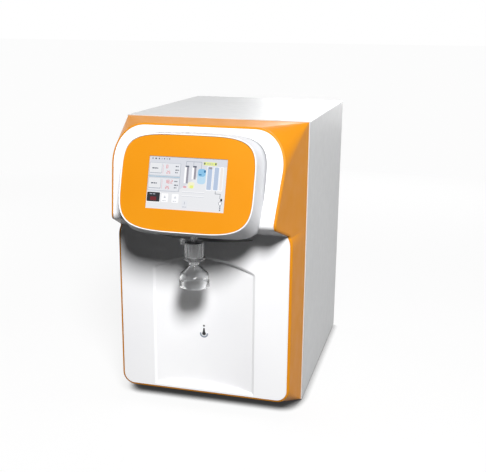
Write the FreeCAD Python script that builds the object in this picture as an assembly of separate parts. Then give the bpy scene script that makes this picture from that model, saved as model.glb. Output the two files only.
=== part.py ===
import FreeCAD, Part
import math
import os

# Bench ultrapure water system: a square sheet cover, a tapered front frame with two white
# inset panels, a leaning display pod, and an end filter with a filling bell under the pod.
# Units are millimetres. X is to the right seen from the front, Y runs to the back, Z is up.
# Pieces are drawn with Y 0 at the cover's front edge and Z 0 at its lower edge. At the end they
# move so that the origin lies on the bench, under the middle of the whole object.

# Cover, base and rear
COVER_WIDTH = 340.0
COVER_DEPTH = 412.0
COVER_HEIGHT = 527.0
SHEET = 1.5
COVER_BEND = 2.0
FIT = 0.3
REAR_INSET = 4.0
FLANGE = 12.0
PAN_LIFT = 7.0
PAN_FLANGE = 22.0
FOOT_PROUD = 3.0
FOOT_RADIUS = 11.0
FOOT_INSET = 34.0
FOOT_FRONT = 32.0
SCREW_RADIUS = 2.0
SCREW_HEAD_RADIUS = 3.8
SCREW_HEAD_HEIGHT = 2.4
SCREW_LENGTH = 8.0

# Front outline, as seen from the front, and its side profile
LOWER_REACH = 80.0
LOWER_HALF = 156.4
LOWER_BOTTOM = 31.0
LOWER_CORNER = 20.0
HEAD_HEIGHT = 183.5
CHIN_SLOPE = 22.0
CHIN_ROUND = 5.0
CHIN_HALF = 152.3
NOSE_ROUND = 12.0
WAIST_HALF = 140.5
HIP_HEIGHT = 18.0
HIP_EASE = 3.0
HEAD_LEAN = 17.4
HEAD_SET = 4.5
HEAD_TOP_REACH = 97.6
SHOULDER_HALF = 148.2
SHOULDER_DROP = 65.0
SHOULDER_IN = 52.0
SHOULDER_FLARE = 2.5
RIM_ROUND = 4.5
FRAME_WALL = 3.0
SPIGOT_LENGTH = 13.0
FRAME_BOSS = 10.0
FRAME_SCREW_INSET = 60.0

# White inset panels and the hollowed centre section
PANEL_WALL = 3.0
PANEL_FLANGE = 12.0
RECESS_HALF = 95.5
RECESS_DROP = 48.5
RECESS_ARCH_RISE = 24.5
RECESS_CORNER = 8.0
RECESS_LIFT = 4.0
RECESS_BEVEL = 4.5
RECESS_STEP = 2.1
RECESS_HOLLOW = 7.8

# Display pod
POD_FACE_RISE = 22.5
POD_REACH = 169.5
FASCIA_HALF_WIDTH = 112.4
FASCIA_HALF_HEIGHT = 78.6
FASCIA_SET = 0.4
FASCIA_THICK = 1.6
POD_RIM = 2.4
POD_WALL = 3.0
POD_FRONT_WALL = 4.0
POD_ROUND_TOP = 4.55
POD_ROUND_BOTTOM = 4.1
POD_ROOT_HALF = 127.4
POD_ROOT_DROP = 11.5
POD_ROOT_BELOW = 17.0
POD_ROOT_ROUND_TOP = 4.2
POD_ROOT_ROUND_BOTTOM = 3.2
SCREEN_WIDTH = 133.2
SCREEN_HEIGHT = 85.9
SCREEN_MARGIN = 3.0
GLASS_THICK = 1.6
LCD_THICK = 5.0
BOARD_THICK = 1.6
OUTLINE_POINTS = 40

# Outlet, end filter and filling bell
OUTLET_REACH = 130.0
OUTLET_RADIUS = 4.0
OUTLET_BORE = 2.2
OUTLET_GAP = 8.0
OUTLET_FLANGE_RADIUS = 9.0
OUTLET_SHANK_RADIUS = 6.0
OUTLET_SEAT = 7.2
OUTLET_STUB = 18.0
CAPSULE_RADIUS = 16.2
CAPSULE_LENGTH = 26.5
CAPSULE_WALL = 2.0
CAPSULE_RIB_COUNT = 20
CAPSULE_RIB_RADIUS = 0.9
CAPSULE_FLANGE_RADIUS = 19.0
CAPSULE_FLANGE_THICK = 2.2
MEMBRANE_RADIUS = 12.0
BARB_RADIUS = 6.6
BARB_NOSE_RADIUS = 7.2
BARB_LENGTH = 13.0
CAP_HEIGHT = 3.6
VENT_ARM = 21.5
VENT_RADIUS = 4.0
VENT_HEIGHT = 5.2
VENT_DROP = 1.5
VENT_SOCKET = 4.0
VENT_PIN = 1.5
BELL_RADIUS = 26.0
BELL_WALL = 1.3
BELL_NECK_RADIUS = 7.9
BELL_NECK_LENGTH = 5.0
BELL_DROP = 40.0
BELL_CONE = 16.5
BELL_DEPTH = 38.5

# Rear fittings
FAN_X = -80.0
FAN_DROP = 127.0
FAN_SIZE = 80.0
FAN_DEPTH = 25.0
FAN_BORE = 38.0
FAN_HOLE_SPACING = 71.5
FAN_HUB_RADIUS = 16.0
FAN_BLADES = 7
FAN_TIP_GAP = 1.2
FAN_AXLE_RADIUS = 2.0
FAN_AXLE_SHORT = 4.0
FAN_HUB_START = 4.0
GUARD_WIRE = 1.1
GUARD_RINGS = 4
INLET_X = -112.0
INLET_Z = 70.0
INLET_WIDTH = 48.0
INLET_HEIGHT = 27.5
RECESS_SHIFT = 9.0
SWITCH_X = -112.0
SWITCH_Z = 118.0
SWITCH_WIDTH = 30.0
SWITCH_HEIGHT = 22.0
ROCKER_TILT = 9.0
ROCKER_PIVOT_DEPTH = 2.5
PORT_X = 50.0
PORT_Z = 62.0
PORT_SPACING = 42.0
PORT_RADIUS = 8.5
PORT_PROUD = 17.0
PORT_SHANK = 6.5
TUBE_RADIUS = 3.2
COLLET_SLEEVE = 4.4
COLLET_FLANGE_RADIUS = 6.0
COLLET_LENGTH = 11.0
COLLET_TRAVEL = 1.5
RUNNING = 0.06
SLOT_COUNT = 9
SLOT_LENGTH = 70.0
SLOT_HEIGHT = 4.0
SLOT_PITCH = 10.0

# Inner pieces
BULKHEAD_Y = 13.5
DIVIDER_X = 20.0
DIVIDER_DROP = 110.0
DIVIDER_PORT_START = 20.0
DIVIDER_PORT_LENGTH = 60.0
DIVIDER_PORT_LIFT = 12.0
DIVIDER_PORT_MARGIN = 8.0
SHELF_Z = 58.0
CARTRIDGE_RADIUS = 36.0
CARTRIDGE_LENGTH = 290.0
CARTRIDGE_HEAD_HEIGHT = 34.0
CARTRIDGE_X = 62.0
CARTRIDGE_FIRST_Y = 72.0
CARTRIDGE_PITCH = 84.0
VESSEL_RADIUS = 30.0
VESSEL_X = 132.0
VESSEL_Y = 86.0
VESSEL_LENGTH = 300.0
LAMP_CHAMBER_RADIUS = 25.0
LAMP_CHAMBER_Y = 200.0
LAMP_RADIUS = 8.0
PUMP_X = -100.0
PUMP_Y = 98.0
PUMP_RADIUS = 31.0
PUMP_LENGTH = 88.0
PUMP_HEAD = 64.0
PUMP_LIFT = 12.0
LOOP_PUMP_X = -16.0
LOOP_PUMP_Y = 68.0
LOOP_PUMP_LIFT = 30.0
LOOP_PUMP_RADIUS = 22.0
LOOP_PUMP_LENGTH = 74.0
SUPPLY_SIZE = (42.0, 160.0, 98.0)
SUPPLY_Y = 216.0
SUPPLY_GAP = 16.0
BALLAST_SIZE = (26.0, 90.0, 40.0)
BALLAST_Y = 276.0
BALLAST_LAP = 10.0
BOARD_SIZE = (1.6, 180.0, 130.0)
BOARD_Y = 70.0
BOARD_Z = 170.0
POST_INSET = 6.0
POST_RADIUS = 3.0
POST_LENGTH = 8.0
DUCT_WIDTH = 130.0
DUCT_HEIGHT = 84.0
DUCT_RISE = 77.0
FEED_VALVE = (100.0, 340.0, 150.0)
DISPENSE_VALVE_X = -70.0
DISPENSE_VALVE_SET = 33.0
DISPENSE_VALVE_RISE = 57.0
CELL_X = 116.0
CELL_SET = 12.0
CELL_RISE = 91.0
CELL_LENGTH = 52.0
TUBE_OUTER = 3.175
TUBE_BEND = 9.0

# Derived values
HEAD_TOP = COVER_HEIGHT - HEAD_SET
CHIN_HEIGHT = HEAD_TOP - HEAD_HEIGHT
RECESS_TOP = CHIN_HEIGHT - RECESS_DROP
POD_ROOT_TOP = HEAD_TOP - POD_ROOT_DROP
POD_ROOT_BOTTOM = CHIN_HEIGHT - POD_ROOT_BELOW
POD_MIDDLE = (POD_ROOT_TOP + POD_ROOT_BOTTOM) / 2 + POD_FACE_RISE
DUCT_MIDDLE = CHIN_HEIGHT + DUCT_RISE
FAN_Z = COVER_HEIGHT - FAN_DROP
RECESS_X = INLET_X + RECESS_SHIFT
DIVIDER_TOP = COVER_HEIGHT - DIVIDER_DROP
DISPENSE_VALVE = (DISPENSE_VALVE_X, BULKHEAD_Y + SHEET + DISPENSE_VALVE_SET, CHIN_HEIGHT + DISPENSE_VALVE_RISE)
CELL_PLACE = (CELL_X, BULKHEAD_Y + SHEET + CELL_SET, CHIN_HEIGHT + CELL_RISE)
TAN_LEAN = math.tan(math.radians(HEAD_LEAN))
COS_LEAN = math.cos(math.radians(HEAD_LEAN))
SIN_LEAN = math.sin(math.radians(HEAD_LEAN))
TAN_CHIN = math.tan(math.radians(CHIN_SLOPE))
HALF = COVER_WIDTH / 2
REAR_FACE = COVER_DEPTH - REAR_INSET
LIP_FACE = REAR_FACE - SHEET
BELOW = FreeCAD.Vector(0, 0, -1)
ABOVE = FreeCAD.Vector(0, 0, 1)
FRONTWARD = FreeCAD.Vector(0, -1, 0)
BACKWARD = FreeCAD.Vector(0, 1, 0)
RIGHTWARD = FreeCAD.Vector(1, 0, 0)
BORE_OVERRUN = 1.0
SEWING = 0.0001


def at(x, y, z):
    return FreeCAD.Vector(x, y, z)


# Shared shapes

def block(x0, x1, y0, y1, z0, z1):
    return Part.makeBox(x1 - x0, y1 - y0, z1 - z0, at(x0, y0, z0))


def rod(base, direction, radius, length):
    return Part.makeCylinder(radius, length, base, direction)


def ring(base, direction, radius, bore, length):
    outer = rod(base, direction, radius, length)
    start = base - direction * BORE_OVERRUN
    return outer.cut(rod(start, direction, bore, length + 2 * BORE_OVERRUN))


def joined(shapes):
    whole = shapes[0]
    if len(shapes) > 1:
        whole = whole.fuse(shapes[1:])
    return whole.removeSplitter()


def mirrored(shape):
    return shape.mirror(at(0, 0, 0), RIGHTWARD)


def turned_solid(points, x, y):
    """A solid of revolution about the vertical line through x and y, from radius and height pairs."""
    corners = [at(x + radius, y, height) for radius, height in points]
    wire = Part.makePolygon(corners + [corners[0]])
    return Part.Face(wire).revolve(at(x, y, 0), ABOVE, 360)


def tray(x0, x1, y0, y1, z0, z1, wall, open_side):
    """An open sheet box whose missing side is named by a direction."""
    outer = block(x0, x1, y0, y1, z0, z1)
    inner = block(x0 + wall, x1 - wall, y0 + wall, y1 - wall, z0 + wall, z1 - wall)
    return outer.cut(inner.fuse(inner.translated(open_side * 2 * wall)))


def screw(head_base, direction):
    """A pan-head screw: direction points from the head towards its tip."""
    head = rod(head_base - direction * SCREW_HEAD_HEIGHT, direction, SCREW_HEAD_RADIUS, SCREW_HEAD_HEIGHT)
    shank = rod(head_base, direction, SCREW_RADIUS, SCREW_LENGTH)
    return head.fuse(shank)


def bent_tube(points, radius, bend):
    """A tube of straight lengths joined by bends."""
    pieces = []
    start = points[0]
    for before, corner, after in zip(points, points[1:], points[2:]):
        first, middle, last = rounding(corner, before - corner, after - corner, bend)
        pieces.append(straight_tube(start, first, radius))
        axis = (first - middle).cross(last - middle)
        angle = math.degrees((first - middle).getAngle(last - middle))
        section = Part.Face(Part.Wire(Part.makeCircle(radius, first, corner - first)))
        pieces.append(section.revolve(middle, axis, angle))
        start = last
    pieces.append(straight_tube(start, points[-1], radius))
    return pieces[0].fuse(pieces[1:])


def straight_tube(start, end, radius):
    return rod(start, (end - start).normalize(), radius, (end - start).Length)


def rounding(corner, toward_first, toward_last, radius):
    """Where an arc of this radius touches the two sides of a corner, and its centre."""
    first = FreeCAD.Vector(toward_first).normalize()
    last = FreeCAD.Vector(toward_last).normalize()
    half_angle = first.getAngle(last) / 2
    reach = radius / math.tan(half_angle)
    middle = corner + (first + last).normalize() * (radius / math.sin(half_angle))
    return corner + first * reach, middle, corner + last * reach


def arc_point(first, middle, last, share):
    """The point a share of the way along the arc from first to last."""
    a = first - middle
    b = last - middle
    angle = a.getAngle(b)
    weight_a = math.sin((1 - share) * angle) / math.sin(angle)
    weight_b = math.sin(share * angle) / math.sin(angle)
    return middle + a * weight_a + b * weight_b


# Side profile of the front: a leaning head, a rounded nose, a sloping underside and a lower plane

def head_reach(z):
    return HEAD_TOP_REACH + (HEAD_TOP - z) * TAN_LEAN


def head_point(x, z, back):
    return at(x, -head_reach(z) + back * COS_LEAN, z - back * SIN_LEAN)


def nose_corner():
    rise = TAN_CHIN * (HEAD_TOP_REACH - LOWER_REACH + HEAD_TOP * TAN_LEAN)
    z = (CHIN_HEIGHT + rise) / (1 + TAN_CHIN * TAN_LEAN)
    return at(0, -head_reach(z), z)


NOSE = nose_corner()
CHIN = at(0, -LOWER_REACH, CHIN_HEIGHT)
HEAD_DIRECTION = at(0, SIN_LEAN, COS_LEAN)
NOSE_LOW, NOSE_CENTRE, NOSE_HIGH = rounding(NOSE, CHIN - NOSE, HEAD_DIRECTION, NOSE_ROUND)
CHIN_LOW, CHIN_CENTRE, CHIN_HIGH = rounding(CHIN, BELOW, NOSE - CHIN, CHIN_ROUND)


def side_half(y):
    """Half width of the underside's outline where the profile reaches forward to y."""
    share = (-LOWER_REACH - y) / (-LOWER_REACH - NOSE_HIGH.y)
    return CHIN_HALF - (CHIN_HALF - WAIST_HALF) * share


def side_curve(first, middle, last, back, sign, put):
    """One rounded stretch of the side outline as a smooth curve, set back from the surface."""
    start = middle + (first - middle) * (1 + sign * back / (first - middle).Length)
    end = middle + (last - middle) * (1 + sign * back / (last - middle).Length)
    radius = (start - middle).Length
    turn = (start - middle).getAngle(end - middle)
    reach = radius * 4 / 3 * math.tan(turn / 4)
    normal = (start - middle).cross(end - middle).normalize()
    ahead = normal.cross(start - middle).normalize()
    behind = (end - middle).cross(normal).normalize()
    poles = [start, start + ahead * reach, end + behind * reach, end]
    curve = Part.BezierCurve()
    curve.setPoles([put(side_half(pole.y - back), pole.y, pole.z) for pole in poles])
    return curve.toShape()


def curve_through(poles):
    curve = Part.BezierCurve()
    curve.setPoles(poles)
    return curve.toShape()


def front_loop(out, back, flat=None):
    """Edges of the front outline, moved out by one amount and set back by another.

    The bottom and top edges are whole, the others are those of the right side. With flat given
    the outline is projected on the plane Y = flat.
    """
    def put(x, y, z):
        return at(x, y if flat is None else flat, z)

    y = -LOWER_REACH + back
    x = LOWER_HALF + out
    z = LOWER_BOTTOM - out
    radius = LOWER_CORNER + out
    slant = radius * math.sqrt(0.5)
    low = put(x - radius, y, z)
    high = put(x, y, z + radius)
    middle = put(x - radius + slant, y, z + radius - slant)
    chin = side_curve(CHIN_LOW, CHIN_CENTRE, CHIN_HIGH, back, 1, lambda px, py, pz: put(px + out, py, pz))
    nose = side_curve(NOSE_LOW, NOSE_CENTRE, NOSE_HIGH, back, -1, lambda px, py, pz: put(px + out, py, pz))
    shoulder_z = HEAD_TOP - SHOULDER_DROP
    shoulder = head_point(SHOULDER_HALF + out, shoulder_z, back)
    crown = head_point(SHOULDER_HALF - SHOULDER_IN, HEAD_TOP + out * COS_LEAN, back)
    grow = 1 + out / SHOULDER_DROP
    rise = HEAD_DIRECTION * (0.56 * SHOULDER_DROP * grow)
    handle_low = shoulder + rise + RIGHTWARD * SHOULDER_FLARE
    handle_high = crown + RIGHTWARD * (0.65 * SHOULDER_IN * grow)
    poles = [put(p.x, p.y, p.z) for p in (shoulder, handle_low, handle_high, crown)]
    chin_low, chin_high = chin.valueAt(chin.FirstParameter), chin.valueAt(chin.LastParameter)
    nose_low, nose_high = nose.valueAt(nose.FirstParameter), nose.valueAt(nose.LastParameter)
    hip = put(x, y, chin_low.z - HIP_HEIGHT)
    hip_poles = [hip, hip + ABOVE * (HIP_HEIGHT / 2), chin_low + at(HIP_EASE * 0.7, 0, -HIP_EASE), chin_low]
    return {
        "bottom": Part.makeLine(put(-(x - radius), y, z), low),
        "foot_corner": Part.Arc(low, middle, high).toShape(),
        "side": Part.makeLine(high, hip),
        "hip": curve_through(hip_poles),
        "chin": chin,
        "under": Part.makeLine(chin_high, nose_low),
        "nose": nose,
        "head": Part.makeLine(nose_high, poles[0]),
        "shoulder": curve_through(poles),
        "top": Part.makeLine(poles[3], at(-poles[3].x, poles[3].y, poles[3].z)),
    }


STRAIGHT_PARTS = ("side", "hip", "chin", "under", "nose", "head")
RIGHT_PARTS = ("foot_corner", *STRAIGHT_PARTS, "shoulder")


def rear_loop(inset):
    """Edges of the square outline at the cover's front plane, matched to those of the front."""
    x = HALF - SHEET - inset
    low = inset
    high = COVER_HEIGHT - SHEET - inset
    heights = [low, CHIN_LOW.z - HIP_HEIGHT, CHIN_LOW.z, CHIN_HIGH.z, NOSE_LOW.z, NOSE_HIGH.z, high]
    edges = {
        "bottom": Part.makeLine(at(-x, 0, low), at(x, 0, low)),
        "top": Part.makeLine(at(x, 0, high), at(-x, 0, high)),
    }
    for name, z0, z1 in zip(STRAIGHT_PARTS, heights, heights[1:]):
        edges[name] = Part.makeLine(at(x, 0, z0), at(x, 0, z1))
    corners = {"foot_corner": at(x, 0, low), "shoulder": at(x, 0, high)}
    return edges, corners


def strips_between(first, last):
    """Ruled faces between two matched front outlines."""
    faces = [Part.makeRuledSurface(first[name], last[name]) for name in ("bottom", "top")]
    for name in RIGHT_PARTS:
        face = Part.makeRuledSurface(first[name], last[name])
        faces += [face, mirrored(face)]
    return faces


def strips_to_rear(front, inset):
    """Ruled faces from a front outline back to the square outline, with a fan at each corner."""
    edges, corners = rear_loop(inset)
    faces = [Part.makeRuledSurface(front[name], edges[name]) for name in ("bottom", "top")]
    for name in STRAIGHT_PARTS:
        face = Part.makeRuledSurface(front[name], edges[name])
        faces += [face, mirrored(face)]
    for name, corner in corners.items():
        fan = Part.makeLoft([Part.Vertex(corner), Part.Wire([front[name]])], False, True)
        for face in fan.Faces:
            faces += [face, mirrored(face)]
    return faces


def rectangle_ring(outer_inset, inner_inset):
    def rectangle(inset):
        x = HALF - SHEET - inset
        z0 = inset
        z1 = COVER_HEIGHT - SHEET - inset
        return Part.makePolygon([at(-x, 0, z0), at(x, 0, z0), at(x, 0, z1), at(-x, 0, z1), at(-x, 0, z0)])
    return Part.Face([rectangle(outer_inset), rectangle(inner_inset)])


def closed_solid(faces):
    shell = Part.makeShell(faces)
    shell.sewShape()
    solid = Part.makeSolid(shell)
    solid.fix(SEWING, SEWING, SEWING)
    return solid


def outline_prism(out, y0, y1):
    """The front outline as a straight bar along Y."""
    loop = front_loop(out, 0.0, y0)
    edges = [loop["bottom"], loop["top"]]
    for name in RIGHT_PARTS:
        edges += [loop[name], mirrored(loop[name])]
    wire = Part.Wire(Part.__sortEdges__(edges))
    return Part.Face(wire).extrude(at(0, y1 - y0, 0))


def head_band(front_depth, back_depth):
    """The head's side profile between two depths under its surface, as a bar along X."""
    along = (CHIN - NOSE).normalize()

    def path(depth):
        corner = rounding(NOSE, CHIN - NOSE, HEAD_DIRECTION, depth)[1]
        top = corner + HEAD_DIRECTION * (HEAD_TOP - CHIN_HEIGHT)
        return [top, corner, corner + along * ((-LOWER_REACH - corner.y) / along.y)]

    first = path(front_depth)
    last = path(back_depth)
    face = Part.Face(Part.makePolygon(first + last[::-1] + first[:1]))
    face.translate(at(-COVER_WIDTH, 0, 0))
    bar = face.extrude(at(2 * COVER_WIDTH, 0, 0))
    nose = [e for e in bar.Edges if e.BoundBox.XLength > COVER_WIDTH and e.BoundBox.Center.distanceToPoint(first[1]) < FIT]
    return bar.makeFillet(NOSE_ROUND - front_depth, nose)


# Display pod: a superellipse face on the leaning plane, flaring back to a larger root outline

POD_NORMAL = at(0, -COS_LEAN, SIN_LEAN)


def pod_point(x, v, depth):
    """A point on the pod's leaning plane: v runs up the face and depth goes into the pod."""
    centre = at(0, -POD_REACH, POD_MIDDLE)
    return centre + at(x, 0, 0) + HEAD_DIRECTION * v - POD_NORMAL * depth


def superellipse(half_width, half_height, round_top, round_bottom, place):
    """A closed smooth outline: squarer corners need a higher exponent."""
    points = []
    for index in range(OUTLINE_POINTS):
        angle = 2 * math.pi * (index + 0.5) / OUTLINE_POINTS
        c = math.cos(angle)
        s = math.sin(angle)
        power = round_top if s > 0 else round_bottom
        x = half_width * math.copysign(abs(c) ** (2 / power), c)
        v = half_height * math.copysign(abs(s) ** (2 / power), s)
        points.append(place(x, v))
    curve = Part.BSplineCurve()
    curve.interpolate(Points=points, PeriodicFlag=True)
    return Part.Wire([curve.toShape()])


def pod_outline(inset, depth):
    width = FASCIA_HALF_WIDTH + POD_RIM - inset
    height = FASCIA_HALF_HEIGHT + POD_RIM - inset
    return superellipse(width, height, POD_ROUND_TOP, POD_ROUND_BOTTOM, lambda x, v: pod_point(x, v, depth))


def pod_root(inset, y):
    middle = (POD_ROOT_TOP + POD_ROOT_BOTTOM) / 2
    height = (POD_ROOT_TOP - POD_ROOT_BOTTOM) / 2 - inset
    width = POD_ROOT_HALF - inset
    place = lambda x, v: at(x, y, middle + v)
    return superellipse(width, height, POD_ROOT_ROUND_TOP, POD_ROOT_ROUND_BOTTOM, place)


def pod_bar(inset, depth):
    """The pod as a solid bar, from a depth under its face back to the lower panel's plane."""
    return Part.makeLoft([pod_outline(inset, depth), pod_root(inset, -LOWER_REACH - FIT)], True, True)


def fascia_bar(inset, depth, end_depth):
    outline = pod_outline(POD_RIM + inset, depth)
    return Part.Face(outline).extrude(POD_NORMAL * (depth - end_depth))


def leaning_block(width, height, depth, end_depth):
    """A block parallel to the pod's face, centred on it."""
    x = width / 2
    v = height / 2
    corners = [pod_point(-x, -v, depth), pod_point(x, -v, depth), pod_point(x, v, depth), pod_point(-x, v, depth)]
    face = Part.Face(Part.makePolygon(corners + [corners[0]]))
    return face.extrude(POD_NORMAL * (depth - end_depth))


def pod_floor_height(y):
    """Outer height of the pod's underside on the centre line."""
    front = pod_point(0, -FASCIA_HALF_HEIGHT - POD_RIM, 0)
    share = (y - front.y) / (-LOWER_REACH - FIT - front.y)
    return front.z + (POD_ROOT_BOTTOM - front.z) * share


# The end filter hangs clear of both the chin and the pod's underside.
CAPSULE_TOP = min(CHIN_HEIGHT, pod_floor_height(-OUTLET_REACH)) - OUTLET_GAP
BELL_TOP = CAPSULE_TOP - BELL_DROP
BELL_SHOULDER = BELL_TOP - BELL_CONE
BELL_BOTTOM = BELL_TOP - BELL_DEPTH


# Casings

def cover():
    shell = block(-HALF, HALF, 0, COVER_DEPTH, 0, COVER_HEIGHT)
    long_edges = [e for e in shell.Edges if is_top_side_edge(e)]
    shell = shell.makeFillet(COVER_BEND, long_edges)
    inside = HALF - SHEET
    top = COVER_HEIGHT - SHEET
    hollow = block(-inside, inside, -SHEET, COVER_DEPTH + SHEET, -SHEET, top)
    low = PAN_LIFT + PAN_FLANGE + FIT
    lip = block(-inside, inside, LIP_FACE - SHEET, LIP_FACE, low, top)
    lip = lip.cut(block(FLANGE - inside, inside - FLANGE, 0, COVER_DEPTH, low - 1, top - FLANGE))
    for x, z in rear_screw_places():
        lip = lip.cut(rod(at(x, LIP_FACE - 2 * SHEET, z), BACKWARD, SCREW_RADIUS, 3 * SHEET))
    return shell.cut(hollow).fuse(lip)


def is_top_side_edge(edge):
    box = edge.BoundBox
    return box.YLength > COVER_DEPTH - SHEET and box.ZMin > COVER_HEIGHT - SHEET


def base_pan():
    side = HALF - SHEET
    pan = tray(-side, side, SPIGOT_LENGTH + FIT, LIP_FACE, PAN_LIFT, PAN_LIFT + PAN_FLANGE, SHEET, ABOVE)
    for x, z in rear_screw_places():
        pan = pan.cut(rod(at(x, LIP_FACE - 2 * SHEET, z), BACKWARD, SCREW_RADIUS, 3 * SHEET))
    return pan


def feet():
    pads = []
    x = HALF - FOOT_INSET
    for side in (-x, x):
        for y in (FOOT_FRONT, REAR_FACE - FOOT_FRONT):
            pad = rod(at(side, y, -FOOT_PROUD), ABOVE, FOOT_RADIUS, FOOT_PROUD + PAN_LIFT)
            lower = [e for e in pad.Edges if e.BoundBox.ZMax < -FOOT_PROUD + FIT]
            pads.append(pad.makeChamfer(1.0, lower))
    return Part.makeCompound(pads)


def front_frame():
    edge = front_loop(0, 0)
    bulge = front_loop(RIM_ROUND * math.sqrt(0.5), RIM_ROUND * (1 - math.sqrt(0.5)))
    shoulder = front_loop(RIM_ROUND, RIM_ROUND)
    faces = strips_between(edge, bulge) + strips_between(bulge, shoulder)
    faces += strips_to_rear(shoulder, 0) + strips_to_rear(edge, FRAME_WALL)
    faces.append(rectangle_ring(0, FRAME_WALL))
    shell = closed_solid(faces)
    outer = HALF - SHEET - FIT
    inner = HALF - SHEET - FRAME_WALL
    top = COVER_HEIGHT - SHEET - FIT
    under = COVER_HEIGHT - SHEET - FRAME_WALL
    spigot = block(-outer, outer, 0, SPIGOT_LENGTH, FIT, top)
    spigot = spigot.cut(block(-inner, inner, -1, SPIGOT_LENGTH + 1, FRAME_WALL, under))
    bosses = [block(x0, x1, 0, SPIGOT_LENGTH, z - 7, z + 7) for x0, x1, z in frame_boss_places()]
    frame = shell.fuse([spigot] + bosses)
    for x, z in frame_screw_places():
        frame = frame.cut(rod(at(x, -1, z), BACKWARD, SCREW_RADIUS + RUNNING, SPIGOT_LENGTH + 2))
    return frame


def frame_screw_places():
    x = HALF - SHEET - FRAME_WALL - FRAME_BOSS / 2
    return [(side * x, z) for side in (-1, 1) for z in (FRAME_SCREW_INSET, COVER_HEIGHT / 2, COVER_HEIGHT - FRAME_SCREW_INSET)]


def frame_boss_places():
    x0 = HALF - SHEET - FRAME_WALL - FRAME_BOSS
    x1 = HALF - SHEET - FRAME_WALL / 2
    return [(x0, x1, z) if x > 0 else (-x1, -x0, z) for x, z in frame_screw_places()]


def front_bulkhead():
    """Sheet wall behind the front, with a window for the display leads and the outlet tube."""
    side = HALF - SHEET - 2 * FIT
    low = PAN_LIFT + PAN_FLANGE + FIT
    plate = block(-side, side, BULKHEAD_Y, BULKHEAD_Y + SHEET, low, COVER_HEIGHT - SHEET - 2 * FIT)
    plate = plate.cut(duct_bar(SHEET, BULKHEAD_Y - 1, BULKHEAD_Y + SHEET + 1))
    for x, z in frame_screw_places():
        plate = plate.cut(rod(at(x, BULKHEAD_Y - 1, z), BACKWARD, SCREW_RADIUS + FIT, SHEET + 2))
    return plate


def duct_bar(inset, y0, y1):
    """The lead duct between the pod and the bulkhead, as a bar along Y."""
    x = DUCT_WIDTH / 2 - inset
    z = DUCT_HEIGHT / 2 - inset
    return block(-x, x, y0, y1, DUCT_MIDDLE - z, DUCT_MIDDLE + z)


def pod_bracket():
    """Folded duct that carries the pod on the bulkhead, flanged at both ends."""
    front = -LOWER_REACH - FIT
    back = BULKHEAD_Y
    walls = duct_bar(0, front, back)
    flanges = [duct_bar(-FLANGE, front, front + SHEET), duct_bar(-FLANGE, back - SHEET, back)]
    return joined([walls] + flanges).cut(duct_bar(SHEET, front - 1, back + 1))


def head_panel():
    skin = head_band(0, PANEL_FLANGE).common(outline_prism(-FIT, -2 * POD_REACH, COVER_DEPTH))
    inner = outline_prism(-FIT - PANEL_WALL, -2 * POD_REACH, COVER_DEPTH)
    hollow = head_band(PANEL_WALL, PANEL_FLANGE + PANEL_WALL).common(inner)
    return skin.cut(hollow).cut(pod_bar(-FIT, 0))


def recess_outline(inset, y):
    """Outline of the hollowed centre: straight sides, a low arch on top and rounded upper corners."""
    side = RECESS_HALF - inset
    low = LOWER_BOTTOM + RECESS_LIFT + inset
    radius = (RECESS_HALF ** 2 + RECESS_ARCH_RISE ** 2) / (2 * RECESS_ARCH_RISE)
    arch = radius - inset
    middle = RECESS_TOP - radius
    corner = RECESS_CORNER - inset
    x = side - corner
    z = middle + math.sqrt((arch - corner) ** 2 - x ** 2)
    reach = arch / (arch - corner)
    touch = at(x * reach, y, middle + (z - middle) * reach)
    bend = arc_point(touch, at(x, y, z), at(side, y, z), 0.5)
    left = at(-touch.x, y, touch.z)
    edges = [
        Part.makeLine(at(-side, y, low), at(side, y, low)),
        Part.makeLine(at(side, y, low), at(side, y, z)),
        Part.Arc(at(side, y, z), bend, touch).toShape(),
        Part.Arc(touch, at(0, y, middle + arch), left).toShape(),
        Part.Arc(left, at(-bend.x, y, bend.z), at(-side, y, z)).toShape(),
        Part.makeLine(at(-side, y, z), at(-side, y, low)),
    ]
    return Part.Wire(edges)


def recess_hollow(out):
    """The space in front of the hollowed centre, grown outward to shape the wall behind it."""
    front = -LOWER_REACH
    step = front + RECESS_STEP
    deepest = step + RECESS_HOLLOW
    bevel = Part.makeLoft([recess_outline(-out, front), recess_outline(RECESS_BEVEL - out, step)], True, True)
    half = RECESS_HALF - RECESS_BEVEL
    radius = (half ** 2 + RECESS_HOLLOW ** 2) / (2 * RECESS_HOLLOW)
    round_bar = rod(at(0, deepest - radius, 0), ABOVE, radius + out, COVER_HEIGHT)
    inner = Part.Face(recess_outline(RECESS_BEVEL - out, step)).extrude(at(0, RECESS_HOLLOW + out, 0))
    return bevel.fuse(inner.common(round_bar))


def lower_panel():
    top = CHIN_HEIGHT - FIT
    front = -LOWER_REACH
    outline = outline_prism(-FIT, -2 * LOWER_REACH, COVER_DEPTH)
    plate = block(-HALF, HALF, front, front + PANEL_FLANGE, 0, top).common(outline)
    inner = outline_prism(-FIT - PANEL_WALL, -2 * LOWER_REACH, COVER_DEPTH)
    back = front + PANEL_FLANGE + PANEL_WALL
    hollow = block(-HALF, HALF, front + PANEL_WALL, back, 0, top - PANEL_WALL).common(inner)
    return plate.cut(hollow).fuse(recess_hollow(PANEL_WALL)).cut(recess_hollow(0))


# Pod pieces

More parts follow.
